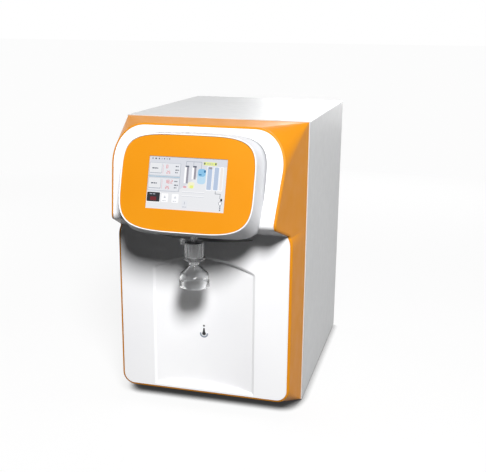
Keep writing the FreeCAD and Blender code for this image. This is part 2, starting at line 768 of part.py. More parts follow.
def pod_shell():
    shell = pod_bar(0, 0)
    hollow_front = pod_outline(POD_WALL, POD_FRONT_WALL)
    hollow = Part.makeLoft([hollow_front, pod_root(POD_WALL, -LOWER_REACH - FIT - POD_WALL)], True, True)
    opening = duct_bar(SHEET, -POD_REACH / 2 - FLANGE, 0)
    seat = fascia_bar(0, -POD_FRONT_WALL, FASCIA_SET + FASCIA_THICK)
    window = leaning_block(SCREEN_WIDTH + 2 * SCREEN_MARGIN + FIT, SCREEN_HEIGHT + 2 * SCREEN_MARGIN + FIT,
                           0, POD_FRONT_WALL + 1)
    hole = rod(at(0, -OUTLET_REACH, BELL_TOP), ABOVE, OUTLET_SHANK_RADIUS + FIT, POD_MIDDLE - BELL_TOP)
    return shell.cut([hollow, seat, window, hole, opening])


def pod_fascia():
    plate = fascia_bar(FIT / 2, FASCIA_SET, FASCIA_SET + FASCIA_THICK)
    return plate.cut(leaning_block(SCREEN_WIDTH, SCREEN_HEIGHT, 0, POD_FRONT_WALL))


def touch_glass():
    face = FASCIA_SET + FASCIA_THICK
    return leaning_block(SCREEN_WIDTH + 2 * SCREEN_MARGIN, SCREEN_HEIGHT + 2 * SCREEN_MARGIN,
                         face, face + GLASS_THICK)


def lcd_panel():
    lip = 2 * POD_FRONT_WALL
    body = leaning_block(SCREEN_WIDTH + 2 * SCREEN_MARGIN + lip, SCREEN_HEIGHT + 2 * SCREEN_MARGIN + lip,
                         POD_FRONT_WALL, POD_FRONT_WALL + LCD_THICK)
    face = FASCIA_SET + FASCIA_THICK + GLASS_THICK
    raised = leaning_block(SCREEN_WIDTH + SCREEN_MARGIN, SCREEN_HEIGHT + SCREEN_MARGIN, face, POD_FRONT_WALL)
    return joined([body, raised])


def display_board():
    """Driver board behind the screen, on four posts, with a few parts on it."""
    back = POD_FRONT_WALL + LCD_THICK
    board_at = back + POST_LENGTH
    width = SCREEN_WIDTH
    height = SCREEN_HEIGHT
    board = leaning_block(width, height, board_at, board_at + BOARD_THICK)
    pieces = [board]
    for sx in (-1, 1):
        for sv in (-1, 1):
            foot = pod_point(sx * (width / 2 - POST_INSET), sv * (height / 2 - POST_INSET), back)
            pieces.append(rod(foot, POD_NORMAL * -1, POST_RADIUS, POST_LENGTH))
    chip = leaning_block(26, 26, board_at + BOARD_THICK, board_at + BOARD_THICK + 2)
    pieces.append(chip)
    return joined(pieces)


# Outlet, end filter and bell

def outlet_fitting():
    """Shouldered spigot: it sits on the pod's floor inside and passes down through it."""
    floor = pod_floor_height(-OUTLET_REACH)
    seat = floor + OUTLET_SEAT
    body = rod(at(0, -OUTLET_REACH, seat), ABOVE, OUTLET_FLANGE_RADIUS, 4.0)
    shank = rod(at(0, -OUTLET_REACH, floor - 2.5), ABOVE, OUTLET_SHANK_RADIUS, OUTLET_SEAT + 4.0)
    stub = rod(at(0, -OUTLET_REACH, CAPSULE_TOP), ABOVE, OUTLET_RADIUS, seat - CAPSULE_TOP + OUTLET_STUB)
    bore = rod(at(0, -OUTLET_REACH, CAPSULE_TOP - 1), ABOVE, OUTLET_BORE, seat - CAPSULE_TOP + 30)
    return joined([body, shank, stub]).cut(bore)


def capsule_cap():
    """Dark top cap: a domed disc with a neck round the outlet."""
    top = CAPSULE_TOP
    bore = OUTLET_RADIUS
    profile = [(bore, top), (CAPSULE_RADIUS - 0.6, top), (CAPSULE_RADIUS - 1.6, top + 1.6),
               (7.0, top + 2.4), (6.2, top + CAP_HEIGHT), (bore, top + CAP_HEIGHT)]
    return turned_solid(profile, 0, -OUTLET_REACH)


def vent_socket():
    """Side arm of the capsule with the socket that the vent screw turns in."""
    seat = CAPSULE_TOP - VENT_DROP
    centre = at(-VENT_ARM, -OUTLET_REACH, seat - VENT_SOCKET)
    arm = rod(at(-VENT_ARM, -OUTLET_REACH, seat - VENT_SOCKET / 2), RIGHTWARD, 1.3, VENT_ARM - CAPSULE_RADIUS + 1.5)
    body = rod(centre, ABOVE, VENT_RADIUS - 1.2, VENT_SOCKET)
    bore = rod(centre + ABOVE, ABOVE, VENT_PIN + RUNNING, VENT_SOCKET)
    return arm.fuse(body).cut(bore)


def vent_screw():
    """Fluted knob on a pin that turns in the vent socket."""
    base = CAPSULE_TOP - VENT_DROP + RUNNING
    knob = rod(at(-VENT_ARM, -OUTLET_REACH, base), ABOVE, VENT_RADIUS, VENT_HEIGHT)
    for index in range(6):
        angle = math.radians(60 * index)
        x = -VENT_ARM + VENT_RADIUS * math.cos(angle)
        y = -OUTLET_REACH + VENT_RADIUS * math.sin(angle)
        knob = knob.cut(rod(at(x, y, base - 1), ABOVE, 0.8, VENT_HEIGHT))
    pin = rod(at(-VENT_ARM, -OUTLET_REACH, base + 1 - VENT_SOCKET), ABOVE, VENT_PIN, VENT_SOCKET)
    return joined([knob, pin])


def capsule_body():
    """Ribbed housing with the lower flange and the two-step hose barb."""
    top = CAPSULE_TOP - RUNNING
    low = CAPSULE_TOP - CAPSULE_LENGTH
    outer = CAPSULE_RADIUS - CAPSULE_RIB_RADIUS / 2
    flange_low = low - CAPSULE_FLANGE_THICK
    tip = low - BARB_LENGTH
    profile = [
        (OUTLET_BORE, tip), (BARB_RADIUS - 1.4, tip), (BARB_NOSE_RADIUS - 0.6, tip + 3.4), (BARB_RADIUS - 0.6, tip + 3.4),
        (BARB_RADIUS - 0.6, tip + 5.4), (BARB_NOSE_RADIUS, tip + 8.0), (BARB_RADIUS, tip + 8.0),
        (BARB_RADIUS, flange_low - 0.8), (CAPSULE_FLANGE_RADIUS - 3.0, flange_low), (CAPSULE_FLANGE_RADIUS, flange_low + 1.0),
        (CAPSULE_FLANGE_RADIUS, low), (outer, low + 0.4), (outer, top), (outer - CAPSULE_WALL, top),
        (outer - CAPSULE_WALL, low + CAPSULE_WALL), (OUTLET_BORE, low + CAPSULE_WALL),
    ]
    body = turned_solid(profile, 0, -OUTLET_REACH)
    ribs = []
    for index in range(CAPSULE_RIB_COUNT):
        angle = 2 * math.pi * index / CAPSULE_RIB_COUNT
        x = outer * math.cos(angle)
        y = -OUTLET_REACH + outer * math.sin(angle)
        ribs.append(rod(at(x, y, low + 1.0), ABOVE, CAPSULE_RIB_RADIUS, CAPSULE_LENGTH - 2.5))
    return body.fuse(ribs + [vent_socket()])


def capsule_membrane():
    low = CAPSULE_TOP - CAPSULE_LENGTH + CAPSULE_WALL
    return ring(at(0, -OUTLET_REACH, low), ABOVE, MEMBRANE_RADIUS, MEMBRANE_RADIUS / 3, CAPSULE_TOP - low - FIT)


def filling_bell():
    """Clear bell: neck on the barb, cone to the shoulder, short straight skirt, open below."""
    w = BELL_WALL
    slant = w * 1.15
    profile = [
        (BELL_NECK_RADIUS, BELL_TOP + BELL_NECK_LENGTH), (BELL_NECK_RADIUS, BELL_TOP), (BELL_RADIUS - 2.0, BELL_SHOULDER + 1.6),
        (BELL_RADIUS, BELL_SHOULDER - 1.0), (BELL_RADIUS, BELL_BOTTOM), (BELL_RADIUS - w, BELL_BOTTOM),
        (BELL_RADIUS - w, BELL_SHOULDER - 1.6), (BELL_RADIUS - 2.6, BELL_SHOULDER - 0.1),
        (BARB_NOSE_RADIUS - 0.6 + RUNNING, BELL_TOP - slant), (BARB_NOSE_RADIUS - 0.6 + RUNNING, BELL_TOP + BELL_NECK_LENGTH),
    ]
    bell = turned_solid(profile, 0, -OUTLET_REACH)
    return bell


# Rear panel and its fittings

def rear_screw_places():
    x = HALF - SHEET - FLANGE / 2
    z_low = PAN_LIFT + PAN_FLANGE / 2
    z_high = COVER_HEIGHT - SHEET - FLANGE / 2
    middle = (z_low + z_high) / 2
    return [(-x, z_low), (x, z_low), (-x, z_high), (x, z_high), (-x, middle), (x, middle), (0, z_high), (0, z_low)]


def port_places():
    return [("feed", PORT_X), ("drain", PORT_X + PORT_SPACING), ("tank", PORT_X + 2 * PORT_SPACING)]


def rear_panel():
    side = HALF - SHEET - FIT
    top = COVER_HEIGHT - SHEET - FIT
    wall = block(-side, side, LIP_FACE, REAR_FACE, PAN_LIFT, top)
    cutters = [rod(at(FAN_X, REAR_FACE - 2 * SHEET, FAN_Z), BACKWARD, FAN_BORE, 3 * SHEET)]
    for x, z in fan_hole_places() + rear_screw_places():
        cutters.append(rod(at(x, REAR_FACE - 2 * SHEET, z), BACKWARD, SCREW_RADIUS + FIT, 3 * SHEET))
    cutters.append(rear_window(INLET_X, INLET_Z, INLET_WIDTH, INLET_HEIGHT))
    cutters.append(rear_window(SWITCH_X, SWITCH_Z, SWITCH_WIDTH, SWITCH_HEIGHT))
    for name, x in port_places():
        cutters.append(rod(at(x, REAR_FACE - 2 * SHEET, PORT_Z), BACKWARD, PORT_SHANK + FIT, 3 * SHEET))
    for index in range(SLOT_COUNT):
        z = FAN_Z + (index - (SLOT_COUNT - 1) / 2) * SLOT_PITCH
        cutters.append(rear_window(-FAN_X, z, SLOT_LENGTH - 2 * FIT, SLOT_HEIGHT))
    return wall.cut(cutters)


def rear_window(x, z, width, height):
    half_width = width / 2 + FIT
    half_height = height / 2
    return block(x - half_width, x + half_width, REAR_FACE - 2 * SHEET, REAR_FACE + SHEET, z - half_height, z + half_height)


def fan_hole_places():
    reach = FAN_HOLE_SPACING / 2
    return [(FAN_X + sx * reach, FAN_Z + sz * reach) for sx in (-1, 1) for sz in (-1, 1)]


def case_screws():
    """All the pan-head screws: through the bulkhead, the rear panel and the fan guard."""
    heads = [(x, BULKHEAD_Y + SHEET, z) for x, z in frame_screw_places()]
    heads += [(x, REAR_FACE, z) for x, z in rear_screw_places()]
    heads += [(x, REAR_FACE + 2 * GUARD_WIRE, z) for x, z in fan_hole_places()]
    return Part.makeCompound([screw(at(*head), FRONTWARD) for head in heads])


def fan_frame():
    half = FAN_SIZE / 2
    front = REAR_FACE - SHEET - FAN_DEPTH
    frame = block(FAN_X - half, FAN_X + half, front, REAR_FACE - SHEET, FAN_Z - half, FAN_Z + half)
    frame = frame.cut(rod(at(FAN_X, front - 1, FAN_Z), BACKWARD, FAN_BORE, FAN_DEPTH + 2))
    hub = rod(at(FAN_X, front, FAN_Z), BACKWARD, FAN_HUB_RADIUS, 3.0)
    spokes = []
    for index in range(4):
        spoke = block(FAN_X + FAN_HUB_RADIUS - 2, FAN_X + FAN_BORE + 1, front, front + 3.0, FAN_Z - 2, FAN_Z + 2)
        spokes.append(spoke.rotated(at(FAN_X, front, FAN_Z), BACKWARD, 45 + 90 * index))
    axle = rod(at(FAN_X, front, FAN_Z), BACKWARD, FAN_AXLE_RADIUS, FAN_DEPTH - FAN_AXLE_SHORT)
    frame = frame.fuse([hub, axle] + spokes)
    for x, z in fan_hole_places():
        frame = frame.cut(rod(at(x, front - 1, z), BACKWARD, SCREW_RADIUS, FAN_DEPTH + 2))
    return frame


def fan_rotor():
    """Cup-shaped hub with pitched blades, free on the frame's axle."""
    front = REAR_FACE - SHEET - FAN_DEPTH
    start = front + FAN_HUB_START
    depth = FAN_DEPTH - FAN_HUB_START - 2.0
    hub = rod(at(FAN_X, start, FAN_Z), BACKWARD, FAN_HUB_RADIUS, depth)
    reach = FAN_BORE - FAN_TIP_GAP
    blades = []
    for index in range(FAN_BLADES):
        blade = fan_blade(start + depth / 2, reach, depth)
        blades.append(blade.rotated(at(FAN_X, start, FAN_Z), BACKWARD, 360.0 * index / FAN_BLADES))
    limit = rod(at(FAN_X, start, FAN_Z), BACKWARD, reach, depth)
    wheel = hub.fuse(blades).common(limit)
    bore = rod(at(FAN_X, front, FAN_Z), BACKWARD, FAN_AXLE_RADIUS + RUNNING, FAN_DEPTH - FAN_AXLE_SHORT + 0.5)
    return wheel.cut(bore)


def fan_blade(y, reach, depth):
    """One blade: a thin pitched plate, twisted flatter at the tip."""
    def section(x, pitch, chord):
        half = chord / 2
        thick = 0.8
        points = []
        for along, across in ((-half, -thick), (half, -thick), (half, thick), (-half, thick)):
            a = math.radians(pitch)
            points.append(at(x, y + along * math.sin(a) + across * math.cos(a),
                             FAN_Z + along * math.cos(a) - across * math.sin(a)))
        return Part.makePolygon(points + [points[0]])
    root = section(FAN_X + FAN_HUB_RADIUS - 3, 52, depth * 0.8)
    tip = section(FAN_X + reach + 2, 34, depth * 1.25)
    return Part.makeLoft([root, tip], True, True)


def fan_guard():
    """Finger guard: concentric hoops on four arms that end in screw eyes."""
    centre = at(FAN_X, REAR_FACE, FAN_Z)
    deep = 2 * GUARD_WIRE
    pieces = []
    for index in range(GUARD_RINGS):
        radius = FAN_BORE * (index + 1) / GUARD_RINGS
        pieces.append(ring(centre, BACKWARD, radius + GUARD_WIRE / 2, radius - GUARD_WIRE / 2, deep))
    reach = FAN_HOLE_SPACING / 2 * math.sqrt(2)
    inner = FAN_BORE / GUARD_RINGS
    for index in range(4):
        arm = block(FAN_X + inner, FAN_X + reach, REAR_FACE, REAR_FACE + deep, FAN_Z - GUARD_WIRE, FAN_Z + GUARD_WIRE)
        eye = rod(centre + RIGHTWARD * reach, BACKWARD, SCREW_HEAD_RADIUS + 1, deep)
        hole = rod(centre + at(reach, -1, 0), BACKWARD, SCREW_RADIUS + FIT, deep + 2)
        pieces.append(arm.fuse(eye).cut(hole).rotated(centre, BACKWARD, 45 + 90 * index))
    return joined(pieces)


def mains_inlet():
    """Appliance inlet: flange, moulded body, keyed recess and three flat pins."""
    w = INLET_WIDTH / 2
    h = INLET_HEIGHT / 2
    face = REAR_FACE
    flange = block(INLET_X - w - 4, INLET_X + w + 4, face, face + 3.0, INLET_Z - h - 3, INLET_Z + h + 3)
    body = block(INLET_X - w, INLET_X + w, face - 28.0, face, INLET_Z - h + FIT, INLET_Z + h - FIT)
    shell = joined([flange, body])
    shell = shell.cut(inlet_recess())
    drawer_x = INLET_X - w + 9.0
    drawer_hole = block(drawer_x - 6, drawer_x + 6, face - 20.0, face + 4, INLET_Z - 10, INLET_Z + 10)
    pins = []
    for dx, dz in ((0, 5.0), (-6.0, -3.0), (6.0, -3.0)):
        pins.append(block(RECESS_X + dx - 1.0, RECESS_X + dx + 1.0, face - 19.0, face - 2.0,
                          INLET_Z + dz - 2.2, INLET_Z + dz + 2.2))
    return shell.cut(drawer_hole).fuse(pins)


def inlet_recess():
    """Keyed recess: a rectangle with two corners cut off."""
    y = REAR_FACE - 18.0
    outline = [(-12.0, -9.0), (12.0, -9.0), (12.0, 5.0), (7.0, 9.0), (-7.0, 9.0), (-12.0, 5.0)]
    points = [at(RECESS_X + x, y, INLET_Z + z) for x, z in outline]
    return Part.Face(Part.makePolygon(points + [points[0]])).extrude(at(0, 22.0, 0))


def fuse_drawer():
    """Small drawer beside the inlet pins that pulls out with the fuse in it."""
    x = INLET_X - INLET_WIDTH / 2 + 9.0
    gap = 0.15
    body = block(x - 6 + gap, x + 6 - gap, REAR_FACE - 18.0, REAR_FACE + 3.0, INLET_Z - 10 + gap, INLET_Z + 10 - gap)
    lip = block(x - 5.0, x + 5.0, REAR_FACE + 3.0, REAR_FACE + 4.6, INLET_Z + 5.5, INLET_Z + 8.5)
    pocket = rod(at(x, REAR_FACE - 11.0, INLET_Z - 12), ABOVE, 2.8, 18.0)
    return joined([body, lip]).cut(pocket)


def switch_frame():
    w = SWITCH_WIDTH / 2
    h = SWITCH_HEIGHT / 2
    face = REAR_FACE
    bezel = block(SWITCH_X - w - 2, SWITCH_X + w + 2, face, face + 2.2, SWITCH_Z - h - 2, SWITCH_Z + h + 2)
    body = block(SWITCH_X - w, SWITCH_X + w, face - 22.0, face, SWITCH_Z - h + FIT, SWITCH_Z + h - FIT)
    cavity = block(SWITCH_X - w + 2, SWITCH_X + w - 2, face - 13.0, face + 4, SWITCH_Z - h + 2.5, SWITCH_Z + h - 2.5)
    pins = []
    for sx in (-1, 1):
        start = SWITCH_X + sx * (w - 2)
        pins.append(rod(at(start, face - ROCKER_PIVOT_DEPTH, SWITCH_Z), RIGHTWARD * -sx, 1.2, 2.4))
    return joined([bezel, body]).cut(cavity).fuse(pins)


def rocker():
    """Two-way rocker: a shallow V face over a rounded back, pivoted on the frame's pins."""
    half = SWITCH_HEIGHT / 2 - 2.5 - 0.6
    pivot = at(SWITCH_X, REAR_FACE - ROCKER_PIVOT_DEPTH, SWITCH_Z)
    width = SWITCH_WIDTH - 4 - 1.0
    tip = half
    outline = [
        (tip, 3.2), (tip - 0.2, -2.6), (3.0, -6.5), (-3.0, -6.5), (-tip + 0.2, -2.6), (-tip, 3.2),
        (-tip + 1.2, 5.6), (0.0, 4.0), (tip - 1.2, 5.6),
    ]
    points = [pivot + at(-width / 2, y, z) for z, y in outline]
    body = Part.Face(Part.makePolygon(points + [points[0]])).extrude(at(width, 0, 0))
    bore = rod(pivot - RIGHTWARD * SWITCH_WIDTH, RIGHTWARD, 1.2 + RUNNING, 2 * SWITCH_WIDTH)
    body = body.cut(bore)
    return body.rotated(pivot, RIGHTWARD, ROCKER_TILT)


def port_body(x):
    """Push-fit bulkhead union: hexagon outside, threaded shank through the panel, nut inside."""
    face = REAR_FACE
    collar = rod(at(x, face, PORT_Z), BACKWARD, PORT_RADIUS, PORT_PROUD)
    edge = [e for e in collar.Edges if e.BoundBox.YMin > face + PORT_PROUD - 1]
    collar = collar.makeChamfer(1.2, edge)
    hexagon = six_sided(x, face, PORT_RADIUS + 2.2, 6.0)
    shank = rod(at(x, face - 14.0, PORT_Z), BACKWARD, PORT_SHANK, 14.0)
    nut = six_sided(x, face - SHEET - 5.0, PORT_RADIUS + 2.2, 5.0)
    barrel = joined([collar, hexagon, shank, nut])
    socket = rod(at(x, face + PORT_PROUD - COLLET_LENGTH - 0.5, PORT_Z), BACKWARD, COLLET_SLEEVE + RUNNING, COLLET_LENGTH + 2)
    throat = rod(at(x, face - 15.0, PORT_Z), BACKWARD, TUBE_RADIUS - 0.6, PORT_PROUD + 14)
    return barrel.cut([socket, throat])


def six_sided(x, y, radius, length):
    points = []
    for index in range(6):
        angle = math.radians(60 * index)
        points.append(at(x + radius * math.cos(angle), y, PORT_Z + radius * math.sin(angle)))
    return Part.Face(Part.makePolygon(points + [points[0]])).extrude(at(0, length, 0))


def port_collet(x):
    """Release collet: a sleeve in the union's socket with a flange to press."""
    mouth = REAR_FACE + PORT_PROUD
    inner_end = mouth - COLLET_LENGTH + COLLET_TRAVEL + 0.5
    sleeve = rod(at(x, inner_end, PORT_Z), BACKWARD, COLLET_SLEEVE, mouth - inner_end + COLLET_TRAVEL + 0.3)
    flange = rod(at(x, mouth + COLLET_TRAVEL + 0.3, PORT_Z), BACKWARD, COLLET_FLANGE_RADIUS, 1.7)
    bore = rod(at(x, inner_end - 1, PORT_Z), BACKWARD, TUBE_RADIUS, COLLET_LENGTH + 8)
    return joined([sleeve, flange]).cut(bore)


# Inner pieces

def divider():
    """Upright sheet between the wet side and the electrical side, with a foot flange."""
    y0 = BULKHEAD_Y + SHEET + 12.0
    y1 = REAR_FACE - FLANGE - 16.0
    base = PAN_LIFT + SHEET
    wall = block(DIVIDER_X, DIVIDER_X + SHEET, y0, y1, base, DIVIDER_TOP)
    flange = block(DIVIDER_X - 14.0, DIVIDER_X + SHEET, y0, y1, base, base + SHEET)
    port_y = y0 + DIVIDER_PORT_START
    port = block(DIVIDER_X - SHEET, DIVIDER_X + 2 * SHEET, port_y, port_y + DIVIDER_PORT_LENGTH,
                 base + DIVIDER_PORT_LIFT, SHELF_Z - DIVIDER_PORT_MARGIN)
    return joined([wall, flange]).cut(port)


def shelf():
    """Shelf that the cartridges stand on, with a folded front lip."""
    x0 = DIVIDER_X + SHEET
    x1 = HALF - SHEET - 4.0
    y0 = BULKHEAD_Y + SHEET + 14.0
    y1 = REAR_FACE - 60.0
    plate = block(x0, x1, y0, y1, SHELF_Z - SHEET, SHELF_Z)
    legs = [block(x1 - SHEET, x1, y0, y1, PAN_LIFT + SHEET, SHELF_Z)]
    return joined([plate] + legs)


def cartridge_places():
    return [(CARTRIDGE_X, CARTRIDGE_FIRST_Y + index * CARTRIDGE_PITCH) for index in range(3)]


def cartridge(x, y):
    r = CARTRIDGE_RADIUS
    low = SHELF_Z
    high = SHELF_Z + CARTRIDGE_LENGTH
    profile = [(0, low), (r - 8, low), (r, low + 8), (r, high - 14), (r - 5, high - 8), (r - 5, high), (0, high)]
    return turned_solid(profile, x, y)


def prefilter_cartridge():
    return cartridge(*cartridge_places()[0])


def polishing_cartridges():
    return Part.makeCompound([cartridge(x, y) for x, y in cartridge_places()[1:]])


def cartridge_heads():
    """Screw-on heads, each with an inlet and an outlet spigot, hung on the divider by a lug."""
    heads = []
    low = SHELF_Z + CARTRIDGE_LENGTH
    for x, y in cartridge_places():
        r = CARTRIDGE_RADIUS - 2
        profile = [(0, low), (r, low), (r, low + 18), (r - 9, low + CARTRIDGE_HEAD_HEIGHT), (0, low + CARTRIDGE_HEAD_HEIGHT)]
        head = turned_solid(profile, x, y)
        lug = block(DIVIDER_X + SHEET, x, y - 12, y + 12, low + 4, low + 14)
        spigots = []
        for side in (-1, 1):
            base = at(x, y + side * 14, low + CARTRIDGE_HEAD_HEIGHT - 6)
            spigots.append(rod(base, ABOVE, 6.0, 18.0))
        heads.append(joined([head, lug] + spigots))
    return Part.makeCompound(heads)


def membrane_vessel():
    low = SHELF_Z
    wall = 4.0
    profile = [
        (0, low), (VESSEL_RADIUS - 6, low), (VESSEL_RADIUS, low + 6), (VESSEL_RADIUS, low + VESSEL_LENGTH),
        (VESSEL_RADIUS - wall, low + VESSEL_LENGTH), (VESSEL_RADIUS - wall, low + 8), (0, low + 8),
    ]
    return turned_solid(profile, VESSEL_X, VESSEL_Y)


def osmosis_membrane():
    low = SHELF_Z + 8
    length = VESSEL_LENGTH - 8 - 14
    outer = VESSEL_RADIUS - 4.0 - 2.0
    return ring(at(VESSEL_X, VESSEL_Y, low), ABOVE, outer, 7.0, length)


def vessel_cap():
    """Screw cap of the membrane vessel, with a plug that seals inside it."""
    top = SHELF_Z + VESSEL_LENGTH
    plug = rod(at(VESSEL_X, VESSEL_Y, top - 12), ABOVE, VESSEL_RADIUS - 4.0 - RUNNING, 12.0)
    cap = rod(at(VESSEL_X, VESSEL_Y, top), ABOVE, VESSEL_RADIUS + 2, 16.0)
    stub = rod(at(VESSEL_X, VESSEL_Y, top + 16), ABOVE, 6.0, 12.0)
    return joined([plug, cap, stub])


def lamp_chamber():
    low = SHELF_Z
    body = ring(at(VESSEL_X, LAMP_CHAMBER_Y, low), ABOVE, LAMP_CHAMBER_RADIUS, LAMP_CHAMBER_RADIUS - 2, VESSEL_LENGTH)
    spigots = []
    for z in (low + 22, low + VESSEL_LENGTH - 22):
        spigots.append(rod(at(VESSEL_X, LAMP_CHAMBER_Y + LAMP_CHAMBER_RADIUS - 1, z), BACKWARD, 5.0, 16.0))
    return body.fuse(spigots)


def lamp_caps():
    caps = []
    low = SHELF_Z
    high = low + VESSEL_LENGTH
    inner = LAMP_CHAMBER_RADIUS - 2 - RUNNING
    lower = rod(at(VESSEL_X, LAMP_CHAMBER_Y, low + 0.5), ABOVE, inner, 9.5)
    upper = joined([
        rod(at(VESSEL_X, LAMP_CHAMBER_Y, high - 8), ABOVE, inner, 8.0),
        rod(at(VESSEL_X, LAMP_CHAMBER_Y, high), ABOVE, LAMP_CHAMBER_RADIUS + 1, 10.0),
    ])
    hole = rod(at(VESSEL_X, LAMP_CHAMBER_Y, high - 10), ABOVE, LAMP_RADIUS + RUNNING, 24.0)
    caps.append(lower)
    caps.append(upper.cut(hole))
    return Part.makeCompound(caps)


def uv_lamp():
    low = SHELF_Z + 10
    return rod(at(VESSEL_X, LAMP_CHAMBER_Y, low), ABOVE, LAMP_RADIUS, VESSEL_LENGTH + 12)


def lamp_ballast():
    thick, length, height = BALLAST_SIZE
    low = DIVIDER_TOP - BALLAST_LAP
    return block(DIVIDER_X - thick, DIVIDER_X, BALLAST_Y, BALLAST_Y + length, low, low + height)


def pump_axis_height():
    return PAN_LIFT + SHEET + PUMP_LIFT + PUMP_HEAD / 2


def pump_motor():
    """Motor can with a rounded tail, along Y behind the pump head."""
    z = pump_axis_height()
    start = PUMP_Y + PUMP_HEAD / 2
    can = rod(at(PUMP_X, start, z), BACKWARD, PUMP_RADIUS, PUMP_LENGTH)
    tail = [e for e in can.Edges if e.BoundBox.YMin > start + PUMP_LENGTH - 1]
    can = can.makeFillet(5.0, tail)
    terminals = rod(at(PUMP_X, start + PUMP_LENGTH - 1, z), BACKWARD, 9.0, 8.0)
    return joined([can, terminals])


def pump_head():
    """Square diaphragm head with an inlet and an outlet elbow, on a folded bracket."""
    z = pump_axis_height()
    half = PUMP_HEAD / 2
    head = block(PUMP_X - half, PUMP_X + half, PUMP_Y - half, PUMP_Y + half, z - half, z + half)
    head = head.makeFillet(6.0, [e for e in head.Edges if e.BoundBox.YLength > PUMP_HEAD - 1])
    spigots = [
        rod(at(PUMP_X - half - 14, PUMP_Y - 12, z + 10), RIGHTWARD, 6.0, 16.0),
        rod(at(PUMP_X + half - 2, PUMP_Y - 12, z + 10), RIGHTWARD, 6.0, 16.0),
    ]
    plate = block(PUMP_X - half - 6, PUMP_X + half + 6, PUMP_Y - 20, PUMP_Y + 20, z - half - 2, z - half)
    return joined([head, plate] + spigots)


def pump_mounts():
    """Rubber bobbins between the pump's plate and the base pan."""
    top = pump_axis_height() - PUMP_HEAD / 2 - 2
    low = PAN_LIFT + SHEET
    bobbins = []
    for sx in (-1, 1):
        for sy in (-1, 1):
            x = PUMP_X + sx * (PUMP_HEAD / 2 - 2)
            bobbins.append(rod(at(x, PUMP_Y + sy * 12, low), ABOVE, 6.0, top - low))
    return Part.makeCompound(bobbins)


def circulation_pump():
    """Smaller pump of the polishing loop, on a saddle."""
    x = LOOP_PUMP_X
    y = LOOP_PUMP_Y
    z = PAN_LIFT + SHEET + LOOP_PUMP_LIFT
    nose = LOOP_PUMP_RADIUS - 4.0
    half = LOOP_PUMP_RADIUS - 6.0
    body = rod(at(x, y, z), BACKWARD, LOOP_PUMP_RADIUS, LOOP_PUMP_LENGTH)
    front = rod(at(x, y - nose, z), BACKWARD, nose, nose)
    saddle = block(x - half, x + half, y + nose - 4.0, y + LOOP_PUMP_LENGTH - nose, PAN_LIFT + SHEET, z - nose + 4.0)
    spigot = rod(at(x, y - nose / 2, z + nose - 4.0), ABOVE, 5.0, nose)
    return joined([body, front, saddle, spigot])


def valve_body(x, y, z):
    body = block(x - 20, x + 20, y - 12, y + 12, z - 12, z + 12)
    ends = [rod(at(x - 34, y, z), RIGHTWARD, 6.0, 15.0), rod(at(x + 19, y, z), RIGHTWARD, 6.0, 15.0)]
    neck = rod(at(x, y, z + 12), ABOVE, 8.0, 6.0)
    return joined([body, neck] + ends)


def valve_coil(x, y, z):
    coil = block(x - 15, x + 15, y - 13, y + 13, z + 18, z + 50)
    nut = rod(at(x, y, z + 50), ABOVE, 7.0, 4.0)
    blades = [block(x + dx - 3, x + dx + 3, y + 13, y + 21, z + 34, z + 35) for dx in (-7, 7)]
    return joined([coil, nut] + blades)


def valve_bodies():
    return Part.makeCompound([valve_body(*FEED_VALVE), valve_body(*DISPENSE_VALVE)])


def valve_coils():
    return Part.makeCompound([valve_coil(*FEED_VALVE), valve_coil(*DISPENSE_VALVE)])


def valve_brackets():
    """Bent sheet brackets: one from the rear panel to the feed valve, one from the bulkhead."""
    x, y, z = FEED_VALVE
    inner_face = REAR_FACE - SHEET
    first = joined([
        block(x - 18, x + 18, y - 12, inner_face, z - 12 - SHEET, z - 12),
        block(x - 18, x + 18, inner_face - SHEET, inner_face, z - 36, z - 12),
    ])
    x, y, z = DISPENSE_VALVE
    face = BULKHEAD_Y + SHEET
    second = joined([
        block(x - 14, x + 14, face, y + 12, z - 12 - SHEET, z - 12),
        block(x - 14, x + 14, face, face + SHEET, z - 40, z - 12),
    ])
    return Part.makeCompound([first, second])


def power_supply():
    """Perforated supply case on the base, left of the divider."""
    width, length, height = SUPPLY_SIZE
    x0 = DIVIDER_X - SUPPLY_GAP - width
    y0 = SUPPLY_Y
    z0 = PAN_LIFT + SHEET
    case = block(x0, x0 + width, y0, y0 + length, z0, z0 + height)
    slots = []
    for index in range(8):
        y = y0 + 18 + index * 17.0
        slots.append(block(x0 - 1, x0 + 2, y, y + 8, z0 + 30, z0 + height - 16))
    strip = block(x0 + 4, x0 + width - 4, y0 - 12, y0, z0 + 8, z0 + 22)
    return joined([case.cut(slots), strip])


def control_board():
    """Main board on the divider with relays, a processor and edge connectors."""
    thick, length, height = BOARD_SIZE
    x1 = DIVIDER_X - POST_LENGTH
    y0 = BOARD_Y
    z0 = BOARD_Z
    pieces = [block(x1 - thick, x1, y0, y0 + length, z0, z0 + height)]
    for index in range(5):
        y = y0 + 14 + index * 22.0
        pieces.append(block(x1 - thick - 15, x1 - thick, y, y + 16, z0 + height - 30, z0 + height - 8))
    pieces.append(block(x1 - thick - 2, x1 - thick, y0 + 100, y0 + 126, z0 + 40, z0 + 66))
    for index in range(6):
        y = y0 + 10 + index * 27.0
        pieces.append(block(x1 - thick - 9, x1 - thick, y, y + 20, z0 + 4, z0 + 12))
    return joined(pieces)


def board_posts():
    thick, length, height = BOARD_SIZE
    posts = []
    for y in (BOARD_Y + POST_INSET, BOARD_Y + length - POST_INSET):
        for z in (BOARD_Z + POST_INSET, BOARD_Z + height - POST_INSET):
            posts.append(rod(at(DIVIDER_X - POST_LENGTH, y, z), RIGHTWARD, POST_RADIUS, POST_LENGTH))
    return Part.makeCompound(posts)


